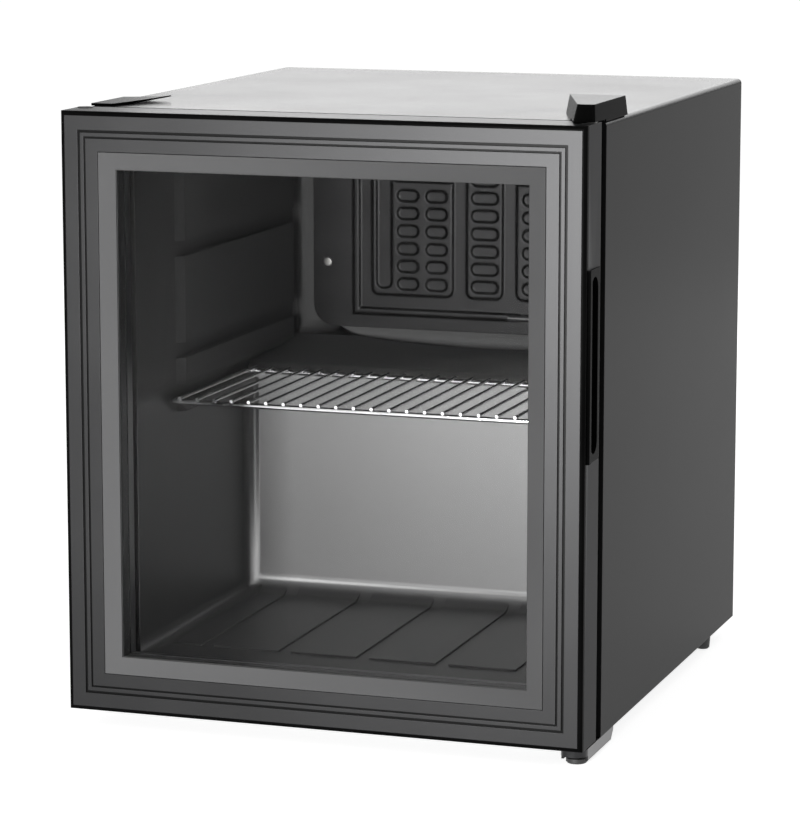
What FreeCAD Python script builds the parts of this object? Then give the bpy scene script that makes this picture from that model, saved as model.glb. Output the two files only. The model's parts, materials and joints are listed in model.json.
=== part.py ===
import FreeCAD, Part
import math
import os

# All sizes are in mm. X runs to the right, Y to the back, Z up, and the cooler stands on Z = 0.
# The origin lies under the middle of the whole cooler. Insets are measured inwards from the door's edges.

# Cabinet shell
cabinet_width = 430
cabinet_depth = 445
cabinet_height = 484
floor_gap = 13
sheet = 0.8
shell_corner = 4
front_return = 25
bottom_return = 22
back_recess = 32
back_flange = 12
side_wall = 35
floor_wall = 35
top_wall = 35
back_wall = 30
bond_gap = 0.3
cut_overrun = 1
# How far an edge may lean from the way it is asked for, and how far a flat side from flat
lean_share = 0.5
flat_share = 0.000001

# Inner liner
liner_skin = 2
liner_corner = 18
liner_side_corner = 12
hump_wall = 35
hump_rise = 12
hump_nose = 12
trough_reach = 35
trough_radius = 298
trough_drop = 5
wall_pad_setback = 99
wall_pad_depth = 7
wall_pad_back_gap = 26
wall_pad_bevel = 5
wall_pad_foot = 10
wall_pad_top_gap = 16
groove_height = 13
lower_groove_level = 204
middle_groove_level = 239
upper_groove_level = 324
floor_pad_height = 1.5
floor_pad_setback = 49
floor_pad_side_gap = 14
floor_pad_climb = 26
floor_edge_pad_width = 24.5
floor_groove_width = 11
floor_groove_count = 5

# Machine room behind the hump
rail_sheet = 1.5
rail_flange = 14
rail_setback = 5
rail_side_gap = 1
grommet_height = 10
grommet_radius = 9
compressor_radius = 60
compressor_height = 145
compressor_seam = 3
# Share of the pot's height where its two halves are welded
seam_share = 0.42
compressor_offset = 30
compressor_room_gap = 16.5
compressor_dome = 22
compressor_foot_sheet = 2
compressor_foot_reach = 84
compressor_foot_depth = 44
compressor_foot_edge = 11
bolt_radius = 3
bolt_head = 5.5
bolt_head_height = 4
tray_lift = 4
tray_height = 16
tray_wall = 1.6
tray_width = 130
tray_depth = 96
head_room = 24.7
relay_width = 30
relay_depth = 54
relay_height = 48
clamp_width = 26
clamp_depth = 12
clamp_height = 16
clamp_bore = 4
clamp_offset = 110
drier_radius = 8
drier_length = 84
drier_neck = 3

# Refrigerant and drain pipes
pipe_radius = 3
pipe_bend = 9
capillary_radius = 1.2
capillary_bend = 4.5
bend_chords = 4
fine_bend_chords = 3
# Share of the notch's height where the capillary tube meets the plate
capillary_share = 0.8
suction_offset = 146
suction_rise = 89
suction_wall_gap = 2
discharge_side_gap = 12
discharge_level = 42
pipe_hole_gap = 0.3
pipe_end_gap = 0.1
drain_radius = 6
drain_wall = 1
drain_setback = 10
drain_drop = 12

# Wire condenser in the back recess
condenser_tube_radius = 2.4
condenser_passes = 6
condenser_side_gap = 40
condenser_top_gap = 32
condenser_bottom_gap = 34
condenser_standoff = 19
condenser_wires = 16
wire_radius = 0.8
wire_overhang = 12
bracket_width = 12
bracket_height = 16
bracket_sheet = 2
bracket_gap = 0.1
bracket_foot = 12
bracket_screw_length = 6

# Evaporator plate
evaporator_side_gap = 18
evaporator_top_gap = 10
evaporator_lift = 6
evaporator_sheet = 1.4
evaporator_standoff = 2.6
evaporator_corner = 20
channel_height = 1.6
notch_width = 32
notch_height = 44
standoff_radius = 5
plate_screw_radius = 1.8
plate_screw_head = 4
plate_screw_head_height = 1.4
plate_screw_inset = 14
pill_end_chords = 3
# Shares of the plate's width, counted from its middle or across it
edge_channel_shares = (0.386, 0.358)
field_shares = (0.331, 0.0865)
finger_shares = (0.308, 0.274)
middle_field_share = 0.0565
foot_end_share = 0.107
pill_column_shares = (0.222, 0.139)
pill_width_share = 0.05
middle_pill_width_share = 0.066
field_round_share = 0.025
finger_round_share = 0.014
suction_start_share = 0.1
# Shares of the plate's height, counted from its foot
foot_channel_shares = (0.06, 0.107)
suction_share = 0.0835
field_foot_share = 0.16
finger_foot_share = 0.21
first_pill_share = 0.225
pill_pitch_share = 0.0873
field_top_share = 0.74
field_end_share = 0.87
header_shares = (0.9, 0.945)
# Share of the distance between two rows of pills
pill_height_share = 0.44

# Thermostat on the right wall
thermostat_depth = 70
thermostat_height = 50
thermostat_reach = 26
thermostat_setback = 118
thermostat_top_gap = 22
thermostat_corner = 5
knob_radius = 15
knob_height = 12
knob_rim = 3
knob_spindle = 3
knob_gap = 0.3
spindle_gap = 0.05
sensor_radius = 1.2

# Wire shelf
shelf_setback = 73
shelf_back_gap = 12
shelf_side_gap = 2
shelf_rod_radius = 2.2
shelf_wire_radius = 1.4
shelf_wire_count = 23
shelf_wire_inset = 8
shelf_wire_tail = 2.5
shelf_rest_gap = 0.02

# Door
door_thickness = 41
door_gap = 14
door_lift = 1
trim_width = 3.5
trim_depth = 6
trim_round = 3
face_inset = 31.5
face_sheet = 3
groove_depth = 1.2
outer_groove_inset = 15.7
outer_groove_width = 2
inner_groove_inset = 20.5
inner_groove_width = 1.5
bevel_gap = 0.4
bevel_inset = 45.5
bevel_drop = 3.6
bevel_back = 4.6
seal_lip = 1.9
seal_inset = 34
seal_show = 0.6
glass_sheet = 3.5
spacer_depth = 10
spacer_width = 7
glass_inset = 38
glazing_gap = 0.3
rear_sheet = 3
rear_border = 5
reveal_front_inset = 44.5
reveal_back_inset = 41.5
gasket_inset = 8
gasket_width = 15
gasket_bulb = 6.5
gasket_neck = 7
gasket_base = 4
gasket_dart_width = 2
gasket_dart_depth = 2
gasket_rest_gap = 0.2
magnet_width = 8
magnet_depth = 2.4
magnet_gap = 0.2
door_screw_inset = 30
door_screw_radius = 1.8
door_screw_head = 3.6
door_screw_head_height = 1.6
door_screw_length = 12

# Door grips
grip_level = 225
grip_height = 149
grip_back = 38
grip_proud = 2
grip_face_proud = 1
grip_lip = 6.5
slot_front = 13.6
slot_back = 32
slot_end_gap = 6
slot_depth = 15
slot_end_chords = 7
grip_wall = 1.8
grip_fit = 0.1

# Hinges
pin_side_inset = 7.4
pin_back_inset = 8
pin_radius = 3
pin_fit = 0.05
pin_reach = 13
pin_head = 3.7
pin_head_height = 1.2
bush_radius = 5
bush_flange = 6.25
bush_flange_sheet = 0.6
bush_length = 16
bush_fit = 0.05
hinge_sheet = 2
hinge_gap = 1
tongue_radius = 5
hinge_plate_width = 24
hinge_plate_depth = 50
hinge_plate_setback = 8
hinge_screw_radius = 2
hinge_screw_head = 4
hinge_screw_head_height = 2.4
hinge_screw_length = 10
cover_height = 15
cover_wall = 1.2
cover_nose_chords = 7
cover_door_gap = 0.8
cover_nose_reach = 17
cover_top_nose_reach = 6
cover_width = 50
cover_top_width = 45
cover_front_width = 18
cover_top_front_width = 14
cover_depth = 85
cover_side_gap = 0.3
cover_side_draft = 2
blank_width = 42
blank_depth = 66
blank_setback = 6
blank_low = 2
blank_high = 4.2
# Share of its width that the blanking cover has at the front
blank_front_share = 0.42
lower_plate_width = 21.5
lower_plate_front = 8
lower_plate_reach = 38
lower_lip_height = 3.5
lower_flange_height = 9.5
lower_flange_corner = 7
# Places of the lower bracket's screws, as shares of its reach under the cabinet
lower_screw_shares = (0.3, 0.75)

# Feet
foot_radius = 8.5
foot_height = 4
foot_stud_radius = 2.5
foot_stud_fit = 0.08
foot_pin_offset = 8
foot_plate_width = 44
foot_plate_depth = 34
left_foot_inset = 25
left_foot_setback = 40
rear_foot_radius = 7
rear_foot_tip = 6
rear_foot_inset = 9
rear_foot_setback = 76

# Places that follow from the sizes above
half_width = cabinet_width / 2
total_depth = door_thickness + door_gap + cabinet_depth
door_front = -total_depth / 2
door_back = door_front + door_thickness
cabinet_front = door_back + door_gap
cabinet_back = cabinet_front + cabinet_depth
cabinet_bottom = floor_gap
cabinet_top = cabinet_bottom + cabinet_height
door_bottom = cabinet_bottom + door_lift
door_top = door_bottom + cabinet_height
panel_back = cabinet_back - back_recess
cavity_half = half_width - side_wall
cavity_floor = cabinet_bottom + floor_wall
cavity_top = cabinet_top - top_wall
cavity_back = panel_back - back_wall
rail_top = cabinet_bottom + sheet + rail_sheet
pot_bottom = rail_top + grommet_height + compressor_foot_sheet
pot_top = pot_bottom + compressor_height
tray_bottom = pot_top + tray_lift
room_top = tray_bottom + tray_height + head_room
room_front = cabinet_back - 2 * (compressor_radius + compressor_room_gap)
compressor_y = cabinet_back - compressor_radius - compressor_room_gap
hump_front = room_front - hump_wall
hump_top = room_top + hump_wall
plate_front = cavity_back - evaporator_standoff - evaporator_sheet
plate_half = cavity_half - evaporator_side_gap
plate_bottom = hump_top + hump_rise + evaporator_lift
plate_top = cavity_top - evaporator_top_gap
pin_x = half_width - pin_side_inset
pin_y = door_back - pin_back_inset
tongue_bottom = door_top + hinge_gap
condenser_y = panel_back + condenser_standoff
condenser_top = cabinet_top - condenser_top_gap
condenser_bottom = room_top + condenser_bottom_gap
condenser_half = half_width - condenser_side_gap


def at(x, y, z):
    return FreeCAD.Vector(x, y, z)


def box(x0, x1, y0, y1, z0, z1):
    return Part.makeBox(x1 - x0, y1 - y0, z1 - z0, at(x0, y0, z0))


def prism(points, direction):
    return Part.Face(Part.makePolygon(points + [points[0]])).extrude(direction)


def regular_outline(radius, centre, way, sides):
    """Corners of a regular polygon, square to the way given and on a circle of the given radius."""
    across = way.cross(at(1, 0, 0))
    if across.Length < way.Length / 2:
        across = way.cross(at(0, 1, 0))
    across.normalize()
    other = way.cross(across).normalize()
    points = []
    for i in range(sides):
        angle = 2 * math.pi * (i + 0.5) / sides
        points.append(centre + across * (radius * math.cos(angle)) + other * (radius * math.sin(angle)))
    return points


def skinned(outlines):
    """Solid between outlines with as many corners each: flat sides, split in two where they twist."""
    faces = [Part.Face(Part.makePolygon(ring + ring[:1])) for ring in (outlines[0], outlines[-1])]
    for lower, upper in zip(outlines, outlines[1:]):
        for i in range(len(lower)):
            a, b, c, d = lower[i - 1], lower[i], upper[i], upper[i - 1]
            slope = abs((b - a).cross(d - a).normalize().dot((c - a).normalize()))
            patches = [[a, b, c, d]] if slope < flat_share else [[a, b, c], [a, c, d]]
            faces += [Part.Face(Part.makePolygon(patch + patch[:1])) for patch in patches]
    solid = Part.makeSolid(Part.makeShell(faces))
    if solid.Volume < 0:
        solid.reverse()
    return solid


def turned(outline, x, y, sides):
    """Stack of regular polygons about an upright axis, from a list of radii and heights."""
    return skinned([regular_outline(radius, at(x, y, z), at(0, 0, 1), sides) for radius, z in outline])


def sided_bar(radius, start, end, sides):
    """Straight bar whose section is a regular polygon with its corners on the given radius."""
    return prism(regular_outline(radius, start, end - start, sides), end - start)


def sided_hole(radius, start, end, sides):
    """The same for a hole: the flats of its section touch a circle of the given radius."""
    return sided_bar(radius / math.cos(math.pi / sides), start, end, sides)


def drill(shape, radius, start, end):
    """Cut a hole with eight flats, long enough to pass both ends."""
    way = (end - start).normalize() * cut_overrun
    return shape.cut(sided_hole(radius, start - way, end + way, 8))


def bent_sheet(path, thickness):
    """Outline of a folded sheet: the path, and the same path moved to its left by the thickness."""
    normals = []
    for a, b in zip(path, path[1:]):
        length = math.hypot(b[0] - a[0], b[1] - a[1])
        normals.append(((a[1] - b[1]) / length, (b[0] - a[0]) / length))
    moved = []
    for i, (u, v) in enumerate(path):
        first = normals[max(i - 1, 0)]
        second = normals[min(i, len(normals) - 1)]
        share = 1 + first[0] * second[0] + first[1] * second[1]
        moved.append((u + thickness * (first[0] + second[0]) / share,
                      v + thickness * (first[1] + second[1]) / share))
    return path + moved[::-1]


def bent_sheet_along_x(path, thickness, x0, x1):
    points = [at(x0, u, v) for u, v in bent_sheet(path, thickness)]
    return prism(points, at(x1 - x0, 0, 0))


def bent_sheet_along_z(path, thickness, z0, z1):
    points = [at(u, v, z0) for u, v in bent_sheet(path, thickness)]
    return prism(points, at(0, 0, z1 - z0))


def bent_path(points, bend, chords):
    """The same path with each corner rounded by a tangent arc, drawn with a few chords."""
    path = [points[0]]
    for before, corner, after in zip(points, points[1:], points[2:]):
        inward = (before - corner).normalize()
        outward = (after - corner).normalize()
        turn = math.pi - inward.getAngle(outward)
        centre = corner + (inward + outward).normalize() * (bend / math.cos(turn / 2))
        first = corner + inward * (bend * math.tan(turn / 2)) - centre
        for i in range(chords + 1):
            angle = turn * i / chords
            path.append(centre + first * math.cos(angle) - inward * (bend * math.sin(angle)))
    return path + [points[-1]]


def pipe(path, radius, sides):
    """Pipe along a path of chords, with its section mitred where two chords meet."""
    ring = regular_outline(radius, path[0], path[1] - path[0], sides)
    rings = [ring]
    for i in range(1, len(path)):
        way = (path[i] - path[i - 1]).normalize()
        mitre = way if i == len(path) - 1 else way + (path[i + 1] - path[i]).normalize()
        ring = [corner + way * ((path[i] - corner).dot(mitre) / way.dot(mitre)) for corner in ring]
        rings.append(ring)
    return skinned(rings)


def door_panel(inset, y0, y1):
    """Slab as large as the door, less the inset on all four sides. Y counts from the door's face."""
    return box(-half_width + inset, half_width - inset, door_front + y0, door_front + y1,
               door_bottom + inset, door_top - inset)


def door_ring(outer_inset, inner_inset, y0, y1):
    return door_panel(outer_inset, y0, y1).cut(door_panel(inner_inset, y0 - cut_overrun, y1 + cut_overrun))


def door_window(inset, y):
    x = half_width - inset
    low = door_bottom + inset
    high = door_top - inset
    corners = [(-x, low), (x, low), (x, high), (-x, high)]
    points = [at(u, door_front + y, v) for u, v in corners]
    return Part.makePolygon(points + [points[0]])


def door_frustum(first_inset, y0, last_inset, y1):
    return Part.makeLoft([door_window(first_inset, y0), door_window(last_inset, y1)], True, True)


def mirrored(shape):
    return shape.mirror(at(0, 0, 0), at(1, 0, 0))


# Cabinet shell

def shell_room(y0, y1, gap):
    """Block that fills the casing from one Y to another, with its rounded upper edges, less a gap."""
    inside = half_width - sheet - gap
    top = cabinet_top - sheet - gap
    block = box(-inside, inside, y0, y1, cabinet_bottom + sheet + gap, top)
    ridges = [e for e in block.Edges
              if min(v.Z for v in e.Vertexes) > top - sheet
              and abs(e.Vertexes[0].X - e.Vertexes[1].X) < sheet]
    return block.makeFillet(shell_corner - sheet, ridges)


def outer_casing():
    """One steel sheet folded over both sides and the top, with returns at the front and below."""
    left = -half_width
    right = half_width
    outer = box(left, right, cabinet_front, cabinet_back, cabinet_bottom, cabinet_top)
    ridges = [e for e in outer.Edges
              if abs(e.Vertexes[0].Z - cabinet_top) < sheet and abs(e.Vertexes[1].Z - cabinet_top) < sheet
              and abs(e.Vertexes[0].X - e.Vertexes[1].X) < sheet]
    outer = outer.makeFillet(shell_corner, ridges)
    shell = outer.cut(shell_room(cabinet_front + sheet, cabinet_back + cut_overrun, 0))
    mouth = box(left + front_return, right - front_return, cabinet_front - cut_overrun,
                cabinet_front + 2 * sheet, cabinet_bottom - cut_overrun, cabinet_top - front_return)
    below = box(left + bottom_return, right - bottom_return, cabinet_front - cut_overrun,
                cabinet_back + cut_overrun, cabinet_bottom - cut_overrun, cabinet_bottom + 2 * sheet)
    return drill_for_screws(shell.cut(mouth).cut(below))


def drill_for_screws(shape):
    """Holes for the screws of both hinges, down from the top and up from below."""
    radius = hinge_screw_radius + pin_fit
    tip = cabinet_top - hinge_screw_length
    for x, y in top_screw_places():
        shape = drill(shape, radius, at(x, y, cabinet_top), at(x, y, tip))
    tip = cabinet_bottom + hinge_screw_length
    for x, y in lower_screw_places():
        shape = drill(shape, radius, at(x, y, cabinet_bottom), at(x, y, tip))
    return shape


def room_roof(y):
    """Height of the machine room's roof, which climbs to the back as the hump does."""
    return room_top + hump_rise / (cavity_back - hump_front) * (y - room_front)


def bottom_panel():
    """Floor sheet with its front return, stepped up over the machine room to the back panel."""
    inside = half_width - sheet - bond_gap
    front = cabinet_front + sheet + liner_skin + bond_gap
    base = cabinet_bottom + sheet
    path = [(front, base + front_return), (front, base), (room_front, base), (room_front, room_top),
            (panel_back - sheet, room_roof(panel_back))]
    panel = bent_sheet_along_x(path, sheet, -inside, inside)
    panel = panel.cut(drain_path(drain_radius + pipe_hole_gap))
    front_lip = box(-half_width + front_return + bond_gap, half_width - front_return - bond_gap,
                    cabinet_front, cabinet_front + sheet, cabinet_bottom, base + front_return)
    apron = box(-half_width + bottom_return + bond_gap, half_width - bottom_return - bond_gap,
                cabinet_front, front + sheet, cabinet_bottom, base + sheet)
    return drill_for_screws(panel.fuse(front_lip).fuse(apron).removeSplitter())


def back_panel():
    """Flat back sheet between the casing's sides, folded back along both side edges."""
    inside = half_width - 2 * sheet - bond_gap
    bottom = room_roof(panel_back) + bond_gap
    path = [(-inside, panel_back + back_flange), (-inside, panel_back),
            (inside, panel_back), (inside, panel_back + back_flange)]
    panel = bent_sheet_along_z(path, -sheet, bottom, cabinet_top - sheet - bond_gap)
    panel = panel.common(shell_room(panel_back - sheet, cabinet_back, bond_gap))
    for x, z in bracket_screw_places():
        panel = drill(panel, wire_radius + pin_fit, at(x, panel_back - sheet, z), at(x, panel_back, z))
    return panel.cut(suction_hole()).cut(capillary_hole())


def cavity_profile(grow):
    """Side view of the cold space as a wire in the plane X = 0, grown outwards by a given amount."""
    front = cabinet_front - cut_overrun
    floor = cavity_floor - grow
    top = cavity_top + grow
    back = cavity_back + grow
    nose = hump_front + grow
    drop = grow
    corner = liner_corner + grow
    corner_top = at(0, back, top)
    points = [at(0, front, floor), at(0, nose, floor), at(0, nose, hump_top - drop),
              at(0, back, hump_top + hump_rise - drop), corner_top, at(0, front, top)]
    rounds = [0, corner, hump_nose - grow, corner - hump_rise / 3, corner, 0]
    edges = []
    start = points[0]
    for i in range(1, len(points)):
        corner_point = points[i]
        if not rounds[i]:
            edges.append(Part.LineSegment(start, corner_point).toShape())
            start = corner_point
            continue
        inward = (points[i - 1] - corner_point).normalize()
        outward = (points[(i + 1) % len(points)] - corner_point).normalize()
        half_turn = (math.pi - inward.getAngle(outward)) / 2
        setback = rounds[i] * math.tan(half_turn)
        first = corner_point + inward * setback
        last = corner_point + outward * setback
        middle_way = (inward + outward).normalize()
        middle = corner_point + middle_way * (rounds[i] / math.cos(half_turn) - rounds[i])
        edges.append(Part.LineSegment(start, first).toShape())
        edges.append(Part.Arc(first, middle, last).toShape())
        start = last
    edges.append(Part.LineSegment(start, points[0]).toShape())
    return Part.Wire(edges)


def cavity(grow, side_corner):
    """The cold space as a solid. The edges of its side walls are rounded by the side corner."""
    profile = cavity_profile(grow)
    half = cavity_half + grow
    profile.translate(at(-half, 0, 0))
    space = Part.Face(profile).extrude(at(2 * half, 0, 0))
    if not side_corner:
        return space
    z0 = cavity_floor - grow
    z1 = cavity_top + grow
    front = cabinet_front - 2 * cut_overrun
    back = cavity_back + 2 * cut_overrun + grow
    tunnel = box(-half, half, front, back, z0, z1)
    space = space.common(rounded_along(tunnel, side_corner, at(0, 1, 0)))
    well = box(-half, half, front, cavity_back + grow, z0 - cut_overrun, z1 + cut_overrun)
    space = space.common(rounded_along(well, side_corner, at(0, 0, 1)))
    foot = box(-half, half, front, hump_front + grow, z0 - cut_overrun, hump_top - hump_nose)
    return space.cut(foot.cut(rounded_along(foot, side_corner, at(0, 0, 1))))


def rounded_along(block, radius, way):
    """Round the edges of a block that run the way given."""
    edges = [e for e in block.Edges if e.tangentAt(e.FirstParameter).cross(way).Length < lean_share]
    return block.makeFillet(radius, edges)


def trough(grow):
    """Drip trough: a shallow arc-shaped pocket in the top of the hump, under the evaporator."""
    base = hump_top + hump_rise - 2 * trough_drop - grow
    disc = Part.makeCylinder(trough_radius + grow, 4 * trough_drop + grow,
                             at(0, cavity_back - trough_reach + trough_radius, base))
    keep = box(-cavity_half, cavity_half, hump_front, cavity_back + grow,
               base, base + 4 * trough_drop + grow)
    return disc.common(keep)


def wall_pads():
    """Raised side wall, cut by three grooves for the shelf. This is the left one."""
    front = cabinet_front + wall_pad_setback
    back = cavity_back - wall_pad_back_gap
    wall = -cavity_half - liner_skin / 2
    face = -cavity_half + wall_pad_depth
    plan = [at(wall, front - wall_pad_bevel, 0), at(-cavity_half, front - wall_pad_bevel, 0),
            at(face, front, 0), at(face, back, 0),
            at(-cavity_half, back + wall_pad_bevel, 0), at(wall, back + wall_pad_bevel, 0)]
    grooves = [lower_groove_level, middle_groove_level, upper_groove_level]
    ends = [cavity_floor + grooves[0] - groove_height / 2 - wall_pad_foot]
    for level in grooves:
        ends += [cavity_floor + level - groove_height / 2, cavity_floor + level + groove_height / 2]
    ends.append(cavity_top - wall_pad_top_gap)
    room = cavity(liner_skin, 0)
    slabs = []
    for low, high in zip(ends[::2], ends[1::2]):
        slab = prism(plan, at(0, 0, high - low))
        slab.translate(at(0, 0, low))
        slabs.append(slab.common(room))
    return slabs


def floor_pads(space):
    """Low pads on the floor that run up the foot of the hump, with drain grooves between them."""
    layer = space.cut(cavity(-floor_pad_height, 0))
    outer = cavity_half - floor_pad_side_gap
    first = -outer + floor_edge_pad_width
    pitch = (-2 * first - floor_groove_width) / (floor_groove_count - 1)
    edges = [-outer]
    for i in range(floor_groove_count):
        edges += [first + i * pitch, first + i * pitch + floor_groove_width]
    edges.append(outer)
    front = cabinet_front + floor_pad_setback
    pads = []
    for left, right in zip(edges[::2], edges[1::2]):
        limit = box(left, right, front, hump_front + cut_overrun, cavity_floor - cut_overrun,
                    cavity_floor + floor_pad_climb)
        pads.append(layer.common(limit))
    return pads


def inner_liner():
    """Vacuum-formed liner: one skin with its front rim, hump, drip trough, shelf grooves and pads."""
    space = cavity(0, liner_side_corner)
    rim_front = cabinet_front + sheet
    rim = shell_room(rim_front, rim_front + liner_skin, bond_gap)
    floor = cabinet_bottom + 2 * sheet + bond_gap
    rim = rim.cut(box(-half_width, half_width, cabinet_front, cabinet_back, 0, floor))
    reach = box(-half_width, half_width, rim_front, cabinet_back, 0, cabinet_top)
    skin = cavity(liner_skin, 0).common(reach).fuse(trough(liner_skin)).fuse(rim)
    skin = skin.cut(space).cut(trough(0))
    parts = wall_pads() + floor_pads(space)
    parts += [mirrored(slab) for slab in wall_pads()]
    skin = skin.fuse(parts).removeSplitter()
    return skin.cut(drain_path(drain_radius + pipe_hole_gap)).cut(suction_hole()).cut(capillary_hole())


def insulation_foam():
    """Foam that fills the space between the liner and the shell."""
    front = cabinet_front + sheet + liner_skin + sheet + 2 * bond_gap
    gap = sheet + bond_gap
    block = shell_room(front, panel_back - gap, bond_gap)
    bottom = cabinet_bottom + sheet + gap
    room = [at(-half_width, room_front - gap, 0), at(-half_width, room_front - gap, room_top + gap),
            at(-half_width, cabinet_back, room_roof(cabinet_back) + gap), at(-half_width, cabinet_back, 0)]
    foam = block.cut(prism(room, at(cabinet_width, 0, 0)))
    foam = foam.cut(box(-half_width, half_width, cabinet_front, cabinet_back, 0, bottom))
    back_skin = cavity_back + liner_skin + bond_gap
    hump_back = hump_top + hump_rise
    under_trough = box(-cavity_half, cavity_half, cavity_back - 2 * trough_reach, back_skin,
                       hump_back - 2 * trough_drop - liner_skin - bond_gap, hump_back + hump_rise)
    foam = foam.cut(cavity(liner_skin + bond_gap, 0)).cut(under_trough)
    foam = drill_for_screws(foam)
    for x, z in bracket_screw_places():
        tip = at(x, panel_back - bracket_screw_length, z)
        foam = drill(foam, wire_radius + pin_fit, tip, at(x, panel_back, z))
    return foam.cut(drain_path(drain_radius + pipe_hole_gap)).cut(suction_hole()).cut(capillary_hole())


# Evaporator

def pill(x, z, width, height, y0, y1):
    """Upright slab with rounded ends, lying along X."""
    radius = height / 2
    reach = width / 2 - radius
    points = []
    for side, first in ((1, -90), (-1, 90)):
        for i in range(pill_end_chords + 1):
            angle = math.radians(first + 180 * i / pill_end_chords)
            points.append(at(x + side * reach + radius * math.cos(angle), y0, z + radius * math.sin(angle)))
    return prism(points, at(0, y1 - y0, 0))


def plate_patch(left_share, right_share, low_share, high_share, round_share):
    """Raised patch on the plate, given in shares of its width from the middle and of its height."""
    width = 2 * plate_half
    height = plate_top - plate_bottom
    left, right = sorted((width * left_share, width * right_share))
    patch = box(left, right, plate_front - channel_height, plate_front,
                plate_bottom + height * low_share, plate_bottom + height * high_share)
    if not round_share:
        return patch
    corners = [e for e in patch.Edges if abs(e.Vertexes[0].Y - e.Vertexes[1].Y) > channel_height / 2]
    return patch.makeFillet(width * round_share, corners)


def plate_channels():
    """Blown channels: one round the edge, and two wide fields and a middle one that the header joins."""
    edge, edge_inside = edge_channel_shares
    field, field_inside = field_shares
    foot, foot_top = foot_channel_shares
    header, header_top = header_shares
    notch_share = notch_height / (plate_top - plate_bottom)
    channels = plate_patch(-edge, edge, header, header_top, 0)
    channels = channels.fuse([
        plate_patch(-edge, -edge_inside, foot, header_top, 0),
        plate_patch(edge, edge_inside, notch_share + foot, header_top, 0),
        plate_patch(-edge, foot_end_share, foot, foot_top, 0),
        plate_patch(-middle_field_share, middle_field_share, field_foot_share, header_top,
                    field_round_share),
        plate_patch(-field, -field_inside, field_foot_share, header_top, field_round_share),
        plate_patch(field, field_inside, field_foot_share, header_top, field_round_share)])
    return channels


def plate_islands():
    """Places in the channels where the two sheets stay bonded: tall fingers, bars and rows of pills."""
    width = 2 * plate_half
    height = plate_top - plate_bottom
    finger, finger_inside = finger_shares
    islands = []
    for side in (-1, 1):
        islands.append(plate_patch(side * finger, side * finger_inside, finger_foot_share, field_end_share,
                                   finger_round_share))
        islands.append(plate_patch(side * finger_inside, side * field_shares[1], field_top_share,
                                   field_end_share, 0))
    row_pitch = height * pill_pitch_share
    columns = [(0, header_shares[0], middle_pill_width_share)]
    for share in pill_column_shares:
        columns += [(side * share, field_top_share, pill_width_share) for side in (-1, 1)]
    for column, limit_share, width_share in columns:
        rows = 1 + int((limit_share - first_pill_share) / pill_pitch_share)
        for row in range(rows):
            z = plate_bottom + height * first_pill_share + row * row_pitch
            islands.append(pill(column * width, z, width * width_share, row_pitch * pill_height_share,
                                plate_front - 2 * channel_height, plate_front))
    return islands


def evaporator_plate():
    """Roll-bonded plate: two sheets joined all over, but for the channels that are blown up in them."""
    back = plate_front + evaporator_sheet
    plate = box(-plate_half, plate_half, plate_front, back, plate_bottom, plate_top)
    corners = [e for e in plate.Edges if abs(e.Vertexes[0].Y - e.Vertexes[1].Y) > evaporator_sheet / 2]
    plate = plate.makeFillet(evaporator_corner, corners)
    notch = box(plate_half - notch_width, plate_half + cut_overrun, plate_front - cut_overrun,
                back + cut_overrun, plate_bottom - cut_overrun, plate_bottom + notch_height)
    plate = plate.cut(notch).fuse(plate_channels().cut(plate_islands())).removeSplitter()
    for x, z in plate_screw_places():
        plate = drill(plate, plate_screw_radius + pin_fit, at(x, plate_front, z), at(x, cavity_back, z))
    return plate


def plate_screw_places():
    high = plate_top - plate_screw_inset
    low = plate_bottom + plate_screw_inset + notch_height
    side = plate_half - plate_screw_inset
    return [(-side, low), (-side, high), (side, low), (side, high)]


def evaporator_screws():
    """Four screws, each with the round spacer that holds the plate off the liner."""
    screws = []
    for x, z in plate_screw_places():
        seat = at(x, plate_front, z)
        wall = at(x, cavity_back, z)
        head = sided_bar(plate_screw_head, at(x, plate_front - plate_screw_head_height, z), seat, 6)
        shank = sided_bar(plate_screw_radius, seat, wall, 6)
        spacer = sided_bar(standoff_radius, at(x, plate_front + evaporator_sheet, z), wall, 6)
        screws.append(head.fuse([shank, spacer]))
    return Part.makeCompound(screws)


# Thermostat

def thermostat_box():
    """Place of the thermostat: its wall face, front, back, bottom and top."""
    wall = cavity_half - wall_pad_depth
    front = cabinet_front + thermostat_setback
    top = cavity_top - thermostat_top_gap
    return wall, front, front + thermostat_depth, top - thermostat_height, top


def thermostat_housing():
    wall, front, back, low, high = thermostat_box()
    body = box(wall - thermostat_reach, wall, front, back, low, high)
    edges = [e for e in body.Edges if min(v.X for v in e.Vertexes) < wall - thermostat_reach / 2]
    body = body.makeChamfer(thermostat_corner, edges)
    y = (front + back) / 2
    z = (low + high) / 2
    face = wall - thermostat_reach
    return body.cut(sided_hole(knob_spindle + spindle_gap, at(face - cut_overrun, y, z),
                               at(face + knob_height, y, z), 12))


def thermostat_knob():
    """Round knob with a pointer ridge, on a spindle that turns in the housing."""
    wall, front, back, low, high = thermostat_box()
    y = (front + back) / 2
    z = (low + high) / 2
    base = wall - thermostat_reach - knob_gap
    tip = base - knob_height
    skirt = sided_bar(knob_radius, at(base, y, z), at(base - knob_rim, y, z), 24)
    crown = sided_bar(knob_radius - knob_rim, at(base, y, z), at(tip, y, z), 12)
    ridge = box(tip - knob_rim / 2, base, y - knob_rim / 2, y + knob_rim / 2, z, z + knob_radius - knob_rim)
    spindle = sided_bar(knob_spindle, at(base, y, z), at(base + knob_height - cut_overrun, y, z), 12)
    return skirt.fuse([crown, ridge, spindle]).removeSplitter()


def sensor_tube():
    """Thin sensing tube from the thermostat to the evaporator plate."""
    wall, front, back, low, high = thermostat_box()
    x = wall - 2 * thermostat_corner
    z = (low + high) / 2
    return sided_bar(sensor_radius, at(x, back, z), at(x, plate_front, z), 6)


# Machine room

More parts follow.
